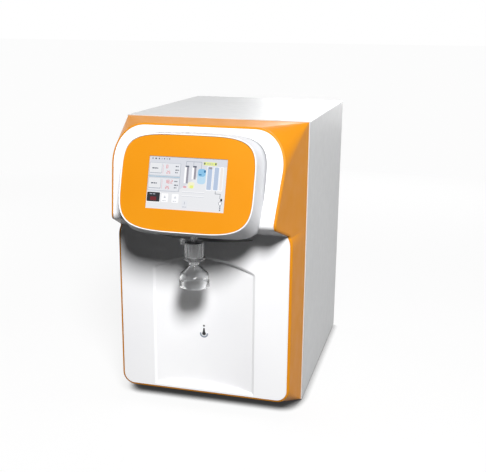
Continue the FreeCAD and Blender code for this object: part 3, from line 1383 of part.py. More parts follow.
def quality_cell():
    """In-line resistivity cell in the tube to the outlet, clipped to the bulkhead."""
    x, y, z = CELL_PLACE
    half = CELL_LENGTH / 2
    body = rod(at(x - half, y, z), RIGHTWARD, 9.0, CELL_LENGTH)
    probe = rod(at(x, y, z + 2), ABOVE, 7.0, 26.0)
    saddle = block(x - 10, x + 10, BULKHEAD_Y + SHEET, y - 4, z - 6, z + 6)
    return joined([body, probe, saddle])


def inner_tubes():
    """Water runs, each of straight lengths joined by bends."""
    feed_x, feed_y, feed_z = FEED_VALVE
    valve_x, valve_y, valve_z = DISPENSE_VALVE
    cell_x, cell_y, cell_z = CELL_PLACE
    cell_x0 = cell_x - CELL_LENGTH / 2
    cell_x1 = cell_x + CELL_LENGTH / 2
    spigot_z = SHELF_Z + CARTRIDGE_LENGTH + CARTRIDGE_HEAD_HEIGHT + 12
    low_run = spigot_z + 34
    high_run = low_run + 14
    top_run = high_run + 14
    pump_z = pump_axis_height() + 10
    pump_y = PUMP_Y - 12
    pump_reach = PUMP_HEAD / 2 + 14
    (ax, ay), (bx, by), (cx, cy) = cartridge_places()
    vessel_top = SHELF_Z + VESSEL_LENGTH + 28
    lamp_y = LAMP_CHAMBER_Y + LAMP_CHAMBER_RADIUS + 15
    lamp_z = SHELF_Z + VESSEL_LENGTH - 22
    side_run = HALF - SHEET - 18.0
    outlet_top = pod_floor_height(-OUTLET_REACH) + OUTLET_SEAT + OUTLET_STUB
    port_end = REAR_FACE - 14.0
    runs = [
        [at(PORT_X, port_end, PORT_Z), at(PORT_X, feed_y, PORT_Z), at(PORT_X, feed_y, feed_z), at(feed_x - 34, feed_y, feed_z)],
        [at(feed_x + 34, feed_y, feed_z), at(side_run, feed_y, feed_z), at(side_run, feed_y, high_run),
         at(side_run, ay - 14, high_run), at(ax, ay - 14, high_run), at(ax, ay - 14, spigot_z)],
        [at(ax, ay + 14, spigot_z), at(ax, ay + 14, low_run), at(PUMP_X + pump_reach + 14, ay + 14, low_run),
         at(PUMP_X + pump_reach + 14, pump_y, pump_z), at(PUMP_X + pump_reach, pump_y, pump_z)],
        [at(PUMP_X - pump_reach, pump_y, pump_z), at(PUMP_X - pump_reach - 12, pump_y, pump_z),
         at(PUMP_X - pump_reach - 12, VESSEL_Y, high_run), at(VESSEL_X, VESSEL_Y, high_run), at(VESSEL_X, VESSEL_Y, vessel_top)],
        [at(VESSEL_X, lamp_y, lamp_z), at(VESSEL_X, lamp_y + 22, lamp_z), at(VESSEL_X, lamp_y + 22, low_run),
         at(bx + 34, lamp_y + 22, low_run), at(bx + 34, by - 14, low_run), at(bx, by - 14, low_run), at(bx, by - 14, spigot_z)],
        [at(bx, by + 14, spigot_z), at(bx, by + 14, low_run), at(cx, cy - 14, low_run), at(cx, cy - 14, spigot_z)],
        [at(cx, cy + 14, spigot_z), at(cx, cy + 14, top_run), at(cell_x1 + 14, cy + 14, top_run),
         at(cell_x1 + 14, cell_y, top_run), at(cell_x1 + 14, cell_y, cell_z), at(cell_x1, cell_y, cell_z)],
        [at(cell_x0, cell_y, cell_z), at(valve_x - 54, cell_y, cell_z), at(valve_x - 54, valve_y, cell_z),
         at(valve_x - 54, valve_y, valve_z), at(valve_x - 34, valve_y, valve_z)],
        [at(valve_x + 34, valve_y, valve_z), at(0, valve_y, valve_z), at(0, -OUTLET_REACH, valve_z), at(0, -OUTLET_REACH, outlet_top)],
    ]
    return Part.makeCompound([bent_tube(points, TUBE_OUTER, TUBE_BEND) for points in runs])


# Assembly

def all_pieces():
    pieces = {
        "cover": cover(),
        "base_pan": base_pan(),
        "feet": feet(),
        "front_frame": front_frame(),
        "front_bulkhead": front_bulkhead(),
        "case_screws": case_screws(),
        "head_panel": head_panel(),
        "lower_panel": lower_panel(),
        "pod_bracket": pod_bracket(),
        "pod_shell": pod_shell(),
        "pod_fascia": pod_fascia(),
        "touch_glass": touch_glass(),
        "lcd_panel": lcd_panel(),
        "display_board": display_board(),
        "outlet_fitting": outlet_fitting(),
        "capsule_cap": capsule_cap(),
        "capsule_body": capsule_body(),
        "capsule_membrane": capsule_membrane(),
        "vent_screw": vent_screw(),
        "filling_bell": filling_bell(),
        "rear_panel": rear_panel(),
        "fan_frame": fan_frame(),
        "fan_rotor": fan_rotor(),
        "fan_guard": fan_guard(),
        "mains_inlet": mains_inlet(),
        "fuse_drawer": fuse_drawer(),
        "switch_frame": switch_frame(),
        "rocker": rocker(),
        "divider": divider(),
        "shelf": shelf(),
        "prefilter_cartridge": prefilter_cartridge(),
        "polishing_cartridges": polishing_cartridges(),
        "cartridge_heads": cartridge_heads(),
        "membrane_vessel": membrane_vessel(),
        "osmosis_membrane": osmosis_membrane(),
        "vessel_cap": vessel_cap(),
        "lamp_chamber": lamp_chamber(),
        "lamp_caps": lamp_caps(),
        "uv_lamp": uv_lamp(),
        "lamp_ballast": lamp_ballast(),
        "pump_motor": pump_motor(),
        "pump_head": pump_head(),
        "pump_mounts": pump_mounts(),
        "circulation_pump": circulation_pump(),
        "valve_bodies": valve_bodies(),
        "valve_coils": valve_coils(),
        "valve_brackets": valve_brackets(),
        "power_supply": power_supply(),
        "control_board": control_board(),
        "board_posts": board_posts(),
        "quality_cell": quality_cell(),
        "inner_tubes": inner_tubes(),
    }
    for name, x in port_places():
        pieces["port_" + name] = port_body(x)
        pieces["collet_" + name] = port_collet(x)
    return pieces


def frame_shift():
    """Puts the origin on the bench, midway between the pod's lower rim and the collets' faces."""
    front = pod_point(0, -FASCIA_HALF_HEIGHT - POD_RIM, 0).y
    back = REAR_FACE + PORT_PROUD + COLLET_TRAVEL + 0.3 + 1.7
    return at(0, -(front + back) / 2, FOOT_PROUD)


def main():
    os.makedirs("parts", exist_ok=True)
    shift = frame_shift()
    for name, shape in all_pieces().items():
        shape.translate(shift)
        shape.exportStep("parts/" + name + ".step")
        state = "" if shape.isValid() else "  NOT VALID"
        print(f"{name:24s} solids {len(shape.Solids)} volume {shape.Volume / 1000:9.2f} cm3{state}")
    print("shift", shift)


main()
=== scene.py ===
import math

import bpy
from mathutils import Matrix, Vector


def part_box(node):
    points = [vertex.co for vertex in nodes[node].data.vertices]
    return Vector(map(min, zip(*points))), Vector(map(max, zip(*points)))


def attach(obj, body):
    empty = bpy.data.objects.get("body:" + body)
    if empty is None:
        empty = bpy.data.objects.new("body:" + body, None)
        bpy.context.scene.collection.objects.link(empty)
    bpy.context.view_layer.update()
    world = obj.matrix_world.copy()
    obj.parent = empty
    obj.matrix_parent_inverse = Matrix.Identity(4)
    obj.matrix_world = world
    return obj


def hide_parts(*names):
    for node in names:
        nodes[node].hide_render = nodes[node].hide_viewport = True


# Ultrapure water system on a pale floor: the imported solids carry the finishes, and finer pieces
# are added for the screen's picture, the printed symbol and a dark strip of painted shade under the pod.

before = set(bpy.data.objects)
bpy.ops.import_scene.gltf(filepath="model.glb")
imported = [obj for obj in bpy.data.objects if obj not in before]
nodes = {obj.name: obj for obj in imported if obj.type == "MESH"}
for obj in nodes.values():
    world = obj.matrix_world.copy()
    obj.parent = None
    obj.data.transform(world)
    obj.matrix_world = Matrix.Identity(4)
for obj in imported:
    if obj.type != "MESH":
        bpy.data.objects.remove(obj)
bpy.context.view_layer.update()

MM = 0.001
COVER_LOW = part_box("cover")[0]
# The case's own frame: X from the middle, Y back from the cover's front edge, Z up from its lower edge.
CASE = Vector((0.0, COVER_LOW.y, COVER_LOW.z))


def case_point(x, y, z):
    """A point given in millimetres in the case's frame."""
    return CASE + Vector((x, y, z)) * MM


# Camera, solved from the photograph

IMAGE_WIDTH = 486
FOCAL_PIXELS = 789.4
SENSOR_WIDTH = 36.0
CAMERA_AIM = (51.68, 0.0, 312.46)
CAMERA_DISTANCE = 1452.5
CAMERA_AZIMUTH = math.radians(14.664)
CAMERA_ELEVATION = math.radians(15.003)
CAMERA_ROLL = math.radians(0.565)


def add_camera():
    aim = case_point(*CAMERA_AIM)
    flat = math.cos(CAMERA_ELEVATION)
    away = Vector((
        math.sin(CAMERA_AZIMUTH) * flat,
        -math.cos(CAMERA_AZIMUTH) * flat,
        math.sin(CAMERA_ELEVATION),
    ))
    level_right = Vector((0, 0, 1)).cross(away).normalized()
    level_up = away.cross(level_right)
    right = level_right * math.cos(CAMERA_ROLL) + level_up * math.sin(CAMERA_ROLL)
    up = away.cross(right)
    data = bpy.data.cameras.new("camera")
    data.sensor_fit = "HORIZONTAL"
    data.sensor_width = SENSOR_WIDTH
    data.lens = FOCAL_PIXELS / IMAGE_WIDTH * SENSOR_WIDTH
    data.clip_end = 50.0
    camera = bpy.data.objects.new("camera", data)
    rotation = Matrix((right, up, away)).transposed().to_4x4()
    camera.matrix_world = Matrix.Translation(aim + away * CAMERA_DISTANCE * MM) @ rotation
    bpy.context.scene.collection.objects.link(camera)
    bpy.context.scene.camera = camera


# Node helpers

def new_material(name):
    material = bpy.data.materials.new(name)
    material.use_nodes = True
    tree = material.node_tree
    tree.nodes.clear()
    output = tree.nodes.new("ShaderNodeOutputMaterial")
    shader = tree.nodes.new("ShaderNodeBsdfPrincipled")
    tree.links.new(shader.outputs["BSDF"], output.inputs["Surface"])
    return material, tree, shader


def object_coordinates(tree):
    return tree.nodes.new("ShaderNodeTexCoord").outputs["Object"]


def noise(tree, vector, scale, detail=2.0, roughness=0.5):
    node = tree.nodes.new("ShaderNodeTexNoise")
    node.inputs["Scale"].default_value = scale
    node.inputs["Detail"].default_value = detail
    node.inputs["Roughness"].default_value = roughness
    tree.links.new(vector, node.inputs["Vector"])
    return node.outputs["Fac"]


def ranged(tree, value, low, high, from_low=0.3, from_high=0.7):
    node = tree.nodes.new("ShaderNodeMapRange")
    node.inputs["From Min"].default_value = from_low
    node.inputs["From Max"].default_value = from_high
    node.inputs["To Min"].default_value = low
    node.inputs["To Max"].default_value = high
    tree.links.new(value, node.inputs["Value"])
    return node.outputs["Result"]


def mixed(tree, factor, first, second):
    node = tree.nodes.new("ShaderNodeMix")
    node.data_type = "RGBA"
    node.inputs["A"].default_value = (*first, 1.0)
    node.inputs["B"].default_value = (*second, 1.0)
    tree.links.new(factor, node.inputs["Factor"])
    return node.outputs["Result"]


def bump(tree, shader, height, strength, distance):
    node = tree.nodes.new("ShaderNodeBump")
    node.inputs["Strength"].default_value = strength
    node.inputs["Distance"].default_value = distance
    tree.links.new(height, node.inputs["Height"])
    tree.links.new(node.outputs["Normal"], shader.inputs["Normal"])


def linear(red, green, blue):
    """A colour as the picture shows it, from 0 to 255, in the shader's linear values."""
    def channel(value):
        v = value / 255.0
        return v / 12.92 if v <= 0.04045 else ((v + 0.055) / 1.055) ** 2.4
    return (channel(red), channel(green), channel(blue))


# Materials

def moulded_plastic(name, colour, shade, rough, grain=0.02, specular=0.5):
    """Injection-moulded plastic: faint tone drift, uneven gloss and a very fine skin."""
    material, tree, shader = new_material(name)
    place = object_coordinates(tree)
    tone = ranged(tree, noise(tree, place, 9.0), 0.0, 1.0)
    tree.links.new(mixed(tree, tone, colour, shade), shader.inputs["Base Color"])
    gloss = ranged(tree, noise(tree, place, 40.0), rough - 0.04, rough + 0.04)
    tree.links.new(gloss, shader.inputs["Roughness"])
    shader.inputs["Specular IOR Level"].default_value = specular
    bump(tree, shader, noise(tree, place, 2600.0, 3.0), grain, 0.00002)
    return material


def powder_coat(name, colour, shade):
    """Powder-coated steel: a fine orange-peel skin with soft sheen."""
    material, tree, shader = new_material(name)
    place = object_coordinates(tree)
    tone = ranged(tree, noise(tree, place, 5.0), 0.0, 1.0)
    tree.links.new(mixed(tree, tone, colour, shade), shader.inputs["Base Color"])
    gloss = ranged(tree, noise(tree, place, 60.0), 0.38, 0.5)
    tree.links.new(gloss, shader.inputs["Roughness"])
    bump(tree, shader, noise(tree, place, 900.0, 3.0), 0.06, 0.00006)
    return material


def metal(name, colour, rough, stretch=(1.0, 1.0, 1.0), scale=400.0):
    """Bright metal with fine rolling marks along one axis."""
    material, tree, shader = new_material(name)
    place = object_coordinates(tree)
    mapping = tree.nodes.new("ShaderNodeMapping")
    mapping.inputs["Scale"].default_value = stretch
    tree.links.new(place, mapping.inputs["Vector"])
    marks = noise(tree, mapping.outputs["Vector"], scale, 4.0)
    darker = tuple(c * 0.88 for c in colour)
    tree.links.new(mixed(tree, ranged(tree, marks, 0.0, 1.0), colour, darker), shader.inputs["Base Color"])
    tree.links.new(ranged(tree, marks, rough - 0.06, rough + 0.08), shader.inputs["Roughness"])
    shader.inputs["Metallic"].default_value = 1.0
    bump(tree, shader, marks, 0.05, 0.00003)
    return material


def rubber(name, colour):
    material, tree, shader = new_material(name)
    place = object_coordinates(tree)
    lighter = tuple(c * 1.6 + 0.004 for c in colour)
    tree.links.new(mixed(tree, ranged(tree, noise(tree, place, 120.0), 0.0, 1.0), colour, lighter),
                   shader.inputs["Base Color"])
    tree.links.new(ranged(tree, noise(tree, place, 200.0), 0.7, 0.85), shader.inputs["Roughness"])
    bump(tree, shader, noise(tree, place, 1500.0, 3.0), 0.15, 0.00005)
    return material


def display_layer(name, colour):
    """Lit liquid-crystal layer: the colour glows evenly, with a faint cell pattern and a glossy face."""
    material, tree, shader = new_material(name)
    place = object_coordinates(tree)
    cells = ranged(tree, noise(tree, place, 3000.0, 1.0), 0.0, 1.0)
    glowing = tuple(c * DISPLAY_GLOW for c in colour)
    dimmer = tuple(c * DISPLAY_GLOW * 0.94 for c in colour)
    tree.links.new(mixed(tree, cells, glowing, dimmer), shader.inputs["Emission Color"])
    shader.inputs["Emission Strength"].default_value = 1.0
    lit = tuple(c * DISPLAY_BODY for c in colour)
    tree.links.new(mixed(tree, cells, lit, glowing), shader.inputs["Base Color"])
    tree.links.new(ranged(tree, noise(tree, place, 60.0), 0.16, 0.24), shader.inputs["Roughness"])
    shader.inputs["Specular IOR Level"].default_value = 0.3
    bump(tree, shader, noise(tree, place, 1200.0, 2.0), 0.02, 0.00002)
    return material


def clear_plastic(name, colour, rough, weight, ior):
    """Clear moulded plastic with a slightly uneven surface."""
    material, tree, shader = new_material(name)
    place = object_coordinates(tree)
    shader.inputs["Base Color"].default_value = (*colour, 1.0)
    shader.inputs["Transmission Weight"].default_value = weight
    shader.inputs["IOR"].default_value = ior
    tree.links.new(ranged(tree, noise(tree, place, 120.0), rough, rough + 0.05), shader.inputs["Roughness"])
    bump(tree, shader, noise(tree, place, 300.0, 2.0), 0.04, 0.0001)
    return material


ORANGE = linear(212, 136, 17)
ORANGE_SHADE = linear(209, 132, 14)
WHITE = linear(247, 247, 248)
WHITE_SHADE = linear(244, 244, 246)
POD = linear(204, 205, 208)
POD_SHADE = linear(201, 202, 205)
GREY = linear(203, 204, 205)
GREY_SHADE = linear(200, 201, 202)
FITTING = linear(205, 206, 208)
FITTING_SHADE = linear(200, 201, 203)
BLACK = (0.012, 0.012, 0.013)
BLACK_SHADE = (0.016, 0.016, 0.017)
INK = (0.02, 0.021, 0.023)
INK_SHADE = (0.03, 0.031, 0.033)
PALE_INK = linear(150, 158, 170)
PALE_INK_SHADE = linear(140, 148, 160)
DISPLAY_GLOW = 0.42
DISPLAY_BODY = 0.45

finishes = {
    "orange": moulded_plastic("orange_moulding", ORANGE, ORANGE_SHADE, 0.46, specular=0.14),
    "white": moulded_plastic("white_moulding", WHITE, WHITE_SHADE, 0.42, specular=0.3),
    "pod_white": moulded_plastic("pod_moulding", POD, POD_SHADE, 0.4, specular=0.3),
    "grey_plastic": moulded_plastic("grey_moulding", FITTING, FITTING_SHADE, 0.45),
    "black_plastic": moulded_plastic("black_moulding", BLACK, BLACK_SHADE, 0.4, 0.05),
    "blue_plastic": moulded_plastic("blue_moulding", linear(40, 92, 168), linear(36, 86, 160), 0.4),
    "board": moulded_plastic("solder_mask", linear(24, 92, 58), linear(20, 84, 52), 0.35),
    "ink": moulded_plastic("printed_ink", INK, INK_SHADE, 0.5, specular=0.2),
    "pale_ink": moulded_plastic("pale_printed_ink", PALE_INK, PALE_INK_SHADE, 0.5, specular=0.2),
    "cover": powder_coat("cover_paint", GREY, GREY_SHADE),
    "steel": metal("stainless", (0.62, 0.62, 0.63), 0.3, (1.0, 1.0, 14.0)),
    "zinc": metal("zinc_sheet", (0.58, 0.59, 0.61), 0.42, (1.0, 8.0, 1.0), 90.0),
    "aluminium": metal("aluminium", (0.78, 0.79, 0.8), 0.4, (1.0, 8.0, 1.0)),
    "rubber": rubber("rubber", (0.012, 0.012, 0.012)),
    "glass": clear_plastic("screen_glass", (0.97, 0.98, 0.98), 0.02, 1.0, 1.45),
    "bell": clear_plastic("clear_bell", (0.97, 0.975, 0.98), 0.0, 1.0, 1.42),
    "capsule": clear_plastic("clear_capsule", (0.94, 0.945, 0.95), 0.03, 0.95, 1.45),
    "membrane": clear_plastic("membrane_sheet", (0.7, 0.7, 0.71), 0.3, 0.75, 1.3),
}

FINISH_OF_NODE = {
    "cover": "cover", "rear_panel": "cover", "base_pan": "zinc", "feet": "rubber",
    "front_frame": "orange", "pod_fascia": "orange", "head_panel": "white", "lower_panel": "white",
    "pod_shell": "pod_white", "touch_glass": "glass", "lcd_panel": "black_plastic", "display_board": "board",
    "outlet_fitting": "capsule", "capsule_cap": "capsule", "capsule_body": "capsule", "vent_screw": "capsule",
    "capsule_membrane": "membrane", "filling_bell": "bell", "case_screws": "steel", "fan_guard": "steel",
    "fan_frame": "black_plastic", "fan_rotor": "black_plastic", "mains_inlet": "black_plastic",
    "fuse_drawer": "black_plastic", "switch_frame": "black_plastic", "rocker": "black_plastic",
    "control_board": "board", "power_supply": "aluminium", "lamp_ballast": "aluminium",
    "lamp_chamber": "steel", "front_bulkhead": "zinc", "pod_bracket": "zinc", "divider": "zinc",
    "shelf": "zinc", "valve_brackets": "zinc",
    "pump_motor": "black_plastic", "valve_coils": "black_plastic", "pump_mounts": "rubber",
    "port_feed": "grey_plastic", "port_drain": "grey_plastic", "port_tank": "grey_plastic",
    "collet_feed": "blue_plastic", "collet_drain": "blue_plastic", "collet_tank": "blue_plastic",
}

SMOOTH_ANGLE = math.radians(28)
SHARP_ANGLE = math.radians(50)
FLOOR_BOUNCE = (0.03, 0.03, 0.03)
FLOOR_SEEN = (0.93, 0.93, 0.93)
FLOOR_LIFT = 0.86
# Painted contact shade on the seen floor: its glow is darkened where the occlusion test finds the unit near.
FLOOR_CREVICE = 0.04
CREVICE_REACH = 0.024
CREVICE_DARK = 0.42
CREVICE_LIGHT = 0.8
FLOOR_OPEN = 0.975
FLOOR_FADE_START = 0.9
FLOOR_FADE_END = 2.4
WORLD_FILL = 0.004


def finish_nodes():
    for name, node in nodes.items():
        finish = finishes[FINISH_OF_NODE.get(name, "grey_plastic")]
        node.data.materials.clear()
        node.data.materials.append(finish)
        node.data.shade_smooth()
        node.data.set_sharp_from_angle(angle=SMOOTH_ANGLE)


# Display picture: plain blocks, bars and numbers laid on the touch glass

POD_LEAN = math.radians(17.4)
POD_FACE = (0.0, -169.5, 439.0)
SCREEN_WIDTH = 133.2
SCREEN_HEIGHT = 85.9
GLASS_DEPTH = 2.0
LAYER_STEP = 0.02
FACE_NORMAL = Vector((0.0, -math.cos(POD_LEAN), math.sin(POD_LEAN)))
FACE_UP = Vector((0.0, math.sin(POD_LEAN), math.cos(POD_LEAN)))

DISPLAY_COLOURS = {
    "ground": (214, 216, 223), "glare": (229, 230, 233), "panel": (226, 228, 233),
    "white": (250, 250, 252), "line": (168, 174, 186), "mark": (92, 98, 112), "black": (38, 39, 44),
    "red": (222, 62, 74), "rose": (224, 158, 168), "cyan": (150, 186, 206), "water": (136, 190, 226),
    "light_water": (186, 216, 236), "deep_water": (48, 118, 164), "column": (178, 194, 218),
    "shade": (150, 148, 158), "cream": (233, 228, 226), "yellow": (228, 236, 132),
    "pale_yellow": (240, 237, 202), "dark_red": (110, 28, 36),
}

SEGMENTS = {"0": "abcdef", "1": "bc", "2": "abged", "5": "afgcd", "8": "abcdefg"}


def on_face(u, v, lift):
    """A point over the pod's face: u across, v up the face and lift out from it, in millimetres."""
    return case_point(*POD_FACE) + (Vector((u, 0, 0)) + FACE_UP * v + FACE_NORMAL * lift) * MM


class Picture:
    """Flat shapes in parts of the screen's width and height from its upper left corner."""

    def __init__(self):
        self.shapes = {}

    def polygon(self, colour, layer, corners):
        self.shapes.setdefault(colour, []).append((layer, corners))

    def block(self, colour, layer, left, top, right, bottom):
        self.polygon(colour, layer, [(left, bottom), (right, bottom), (right, top), (left, top)])

    def rounded(self, colour, layer, left, top, right, bottom, radius):
        tall = radius * SCREEN_WIDTH / SCREEN_HEIGHT
        corners = []
        for quarter, (x, y) in enumerate(((left, top), (right, top), (right, bottom), (left, bottom))):
            cx = x + (radius if x == left else -radius)
            cy = y + (tall if y == top else -tall)
            for step in range(5):
                angle = math.pi + (quarter + step / 4) * math.pi / 2
                corners.append((cx + radius * math.cos(angle), cy + tall * math.sin(angle)))
        self.polygon(colour, layer, list(reversed(corners)))

    def frame(self, colour, layer, left, top, right, bottom, width=0.005):
        self.block(colour, layer, left, top, right, top + width)
        self.block(colour, layer, left, bottom - width, right, bottom)
        self.block(colour, layer, left, top, left + width, bottom)
        self.block(colour, layer, right - width, top, right, bottom)

    def dashes(self, colour, layer, left, top, height, widths, gap):
        for width in widths:
            self.block(colour, layer, left, top, left + width, top + height)
            left += width + gap

    def digit(self, character, colour, layer, left, top, width, height):
        line = width * 0.24
        middle = top + height / 2
        right = left + width
        bottom = top + height
        bars = {
            "a": (left, top, right, top + line), "d": (left, bottom - line, right, bottom),
            "g": (left, middle - line / 2, right, middle + line / 2),
            "f": (left, top, left + line, middle), "e": (left, middle, left + line, bottom),
            "b": (right - line, top, right, middle), "c": (right - line, middle, right, bottom),
        }
        for segment in SEGMENTS[character]:
            self.block(colour, layer, *bars[segment])

    def number(self, text, colour, layer, left, top, width, height):
        for character in text:
            if character == ".":
                self.block(colour, layer, left, top + height * 0.86, left + width * 0.3, top + height)
                left += width * 0.6
            else:
                self.digit(character, colour, layer, left, top, width, height)
                left += width * 1.35

    def build(self):
        for colour, shapes in self.shapes.items():
            points = []
            faces = []
            for layer, corners in shapes:
                lift = -GLASS_DEPTH + (layer + 1) * LAYER_STEP
                faces.append(tuple(range(len(points), len(points) + len(corners))))
                for s, t in corners:
                    points.append(on_face((s - 0.5) * SCREEN_WIDTH, (0.5 - t) * SCREEN_HEIGHT, lift))
            piece = new_piece("display_" + colour, points, faces)
            piece.data.materials.append(display_layer("display_" + colour, linear(*DISPLAY_COLOURS[colour])))


def new_piece(name, points, faces, body="housing"):
    mesh = bpy.data.meshes.new(name)
    mesh.from_pydata([tuple(p) for p in points], [], faces)
    mesh.update()
    piece = bpy.data.objects.new(name, mesh)
    bpy.context.scene.collection.objects.link(piece)
    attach(piece, body)
    return piece


def value_row(picture, top, bottom, upper, lower):
    """One boxed row: a raised key at the left, two red readings and small unit marks."""
    height = bottom - top
    picture.block("panel", 1, 0.008, top, 0.412, bottom)
    picture.frame("line", 2, 0.008, top, 0.412, bottom)
    picture.rounded("line", 2, 0.014, top + height * 0.06, 0.172, top + height * 0.84, 0.012)
    picture.rounded("glare", 3, 0.012, top + height * 0.04, 0.168, top + height * 0.79, 0.012)
    picture.dashes("mark", 4, 0.045, top + height * 0.4, 0.022, (0.03, 0.022, 0.012), 0.006)
    picture.block("rose", 2, 0.184, top + height * 0.14, 0.188, top + height * 0.84)
    picture.number(upper, "red", 2, 0.226, top + height * 0.14, 0.022, height * 0.27)
    picture.number(lower, "red", 2, 0.234, top + height * 0.62, 0.02, height * 0.22)
    for share, widths in ((0.2, (0.018, 0.014)), (0.48, (0.03, 0.012)), (0.68, (0.016, 0.01))):
        picture.dashes("mark", 2, 0.345, top + height * share, 0.02, widths, 0.006)


def draw_screen():
    picture = Picture()
    picture.block("ground", 0, 0.0, 0.0, 1.0, 1.0)
    # The lighter glare wedge is a painted reflection on the screen glass.
    picture.polygon("glare", 1, [(0, 1), (1, 1), (1, 0.14), (0.76, 0.2), (0.37, 0.67), (0, 0.68)])
    picture.dashes("mark", 1, 0.035, 0.032, 0.026, (0.014, 0.02, 0.016, 0.006, 0.012, 0.006, 0.012), 0.024)
    value_row(picture, 0.122, 0.365, "0", "25")
    picture.block("cyan", 2, 0.0, 0.378, 0.412, 0.392)
    value_row(picture, 0.405, 0.655, "18.2", "25")
    # Mode block and keys along the bottom
    picture.rounded("white", 2, 0.002, 0.678, 0.182, 0.882, 0.012)
    picture.rounded("black", 3, 0.006, 0.688, 0.174, 0.868, 0.01)
    picture.dashes("line", 4, 0.04, 0.716, 0.016, (0.034, 0.026), 0.01)
    picture.block("dark_red", 4, 0.05, 0.775, 0.13, 0.845)
    for left in (0.194, 0.328):
        picture.rounded("white", 2, left, 0.7, left + 0.088, 0.868, 0.012)
        picture.block("line", 3, left + 0.03, 0.77, left + 0.058, 0.78)
        picture.block("line", 3, left + 0.041, 0.745, left + 0.047, 0.79)
        picture.dashes("line", 3, left + 0.018, 0.835, 0.01, (0.02, 0.014), 0.008)
    picture.rounded("panel", 2, 0.462, 0.81, 0.535, 0.965, 0.012)
    picture.block("line", 3, 0.494, 0.835, 0.5, 0.885)
    picture.dashes("line", 3, 0.475, 0.93, 0.012, (0.02, 0.016), 0.008)
    # Water path: supply line, two pre-treatment columns, tank and three polishing columns
    picture.block("line", 2, 0.477, 0.068, 0.676, 0.078)
    for left, bottom in ((0.477, 0.16), (0.57, 0.155), (0.67, 0.2)):
        picture.block("line", 2, left, 0.068, left + 0.006, bottom)
    for left, bottom in ((0.464, 0.486), (0.559, 0.405)):
        picture.block("white", 2, left, 0.158, left + 0.026, bottom)
        picture.block("shade", 2, left + 0.026, 0.158, left + 0.052, bottom)
        picture.block("mark", 3, left + 0.006, 0.152, left + 0.054, 0.18)
    picture.rounded("pale_yellow", 2, 0.52, 0.46, 0.602, 0.578, 0.02)
    picture.rounded("yellow", 3, 0.545, 0.52, 0.59, 0.575, 0.01)
    picture.rounded("rose", 2, 0.462, 0.54, 0.504, 0.574, 0.008)
    picture.rounded("light_water", 2, 0.632, 0.196, 0.737, 0.486, 0.034)
    picture.rounded("water", 3, 0.636, 0.2, 0.733, 0.345, 0.032)
    picture.rounded("deep_water", 4, 0.71, 0.22, 0.735, 0.268, 0.01)
    picture.block("deep_water", 4, 0.65, 0.3, 0.682, 0.322)
    picture.rounded("yellow", 2, 0.696, 0.068, 0.866, 0.126, 0.01)
    for left in (0.702, 0.842):
        picture.block("mark", 3, left, 0.076, left + 0.018, 0.116)
    picture.dashes("line", 3, 0.74, 0.088, 0.018, (0.02, 0.026, 0.014), 0.01)
    for left, right, colour in ((0.756, 0.814, "column"), (0.842, 0.898, "column"), (0.916, 0.95, "cream")):
        picture.rounded("white", 2, left - 0.006, 0.145, right + 0.006, 0.6, 0.012)
        picture.rounded(colour, 3, left, 0.155, right, 0.585, 0.01)
    picture.block("shade", 4, 0.77, 0.155, 0.812, 0.195)
    picture.block("mark", 2, 0.87, 0.6, 0.876, 0.655)
    picture.block("mark", 2, 0.87, 0.648, 0.94, 0.656)
    picture.block("mark", 2, 0.934, 0.648, 0.94, 0.74)
    picture.rounded("black", 3, 0.944, 0.735, 0.968, 0.785, 0.006)
    picture.rounded("mark", 3, 0.924, 0.79, 0.966, 0.862, 0.02)
    picture.rounded("white", 4, 0.929, 0.798, 0.961, 0.854, 0.015)
    for top in (0.875, 0.908, 0.941):
        picture.block("mark", 3, 0.94, top, 0.954, top + 0.022)
    for top in (0.64, 0.715):
        picture.block("white", 2, 0.45, top, 0.735, top + 0.012)
        picture.block("line", 3, 0.45, top + 0.012, 0.735, top + 0.017)
    picture.build()


# Pod walls: a rounded face edge that flares into a section with squarer lower corners, then to the root

FACE_HALF_WIDTH = 112.4
FACE_HALF_HEIGHT = 78.6
FACE_ROUND = (4.55, 4.1)
RIM_WIDTH = 2.4
WALL_DEPTH = 43.6
WALL_HALF_WIDTH = 119.8
WALL_HALF_TOP = 90.9
WALL_HALF_BOTTOM = 83.0
WALL_ROUND = (4.35, 7.0)
WALL_TAPER = 0.03
ROOT_Y = -80.3
ROOT_HALF_WIDTH = 127.4
ROOT_HALF_TOP = 94.5
ROOT_HALF_BOTTOM = 90.9
ROOT_MIDDLE = 416.5
ROOT_ROUND = (4.2, 3.2)
OUTLINE_COUNT = 208
WALL_STEPS = 9


def outline(half_width, half_top, half_bottom, rounds, place, taper=0.0):
    """Points of a closed superellipse with its own height and squareness above and below the middle.

    The taper narrows the lower half by that share of its width at its lowest point.
    """
    points = []
    for index in range(OUTLINE_COUNT):
        angle = 2 * math.pi * (index + 0.5) / OUTLINE_COUNT
        c = math.cos(angle)
        s = math.sin(angle)
        power = 2 / rounds[0 if s > 0 else 1]
        half_height = half_top if s > 0 else half_bottom
        u = half_width * math.copysign(abs(c) ** power, c)
        v = half_height * math.copysign(abs(s) ** power, s)
        if v < 0:
            u *= 1 - taper * (v / half_bottom) ** 2
        points.append(place(u, v))
    return points


def face_outline(grow, depth):
    width = FACE_HALF_WIDTH + grow
    height = FACE_HALF_HEIGHT + grow
    return outline(width, height, height, FACE_ROUND, lambda u, v: on_face(u, v, -depth))


def between(first, second, share):
    return [a.lerp(b, share) for a, b in zip(first, second)]


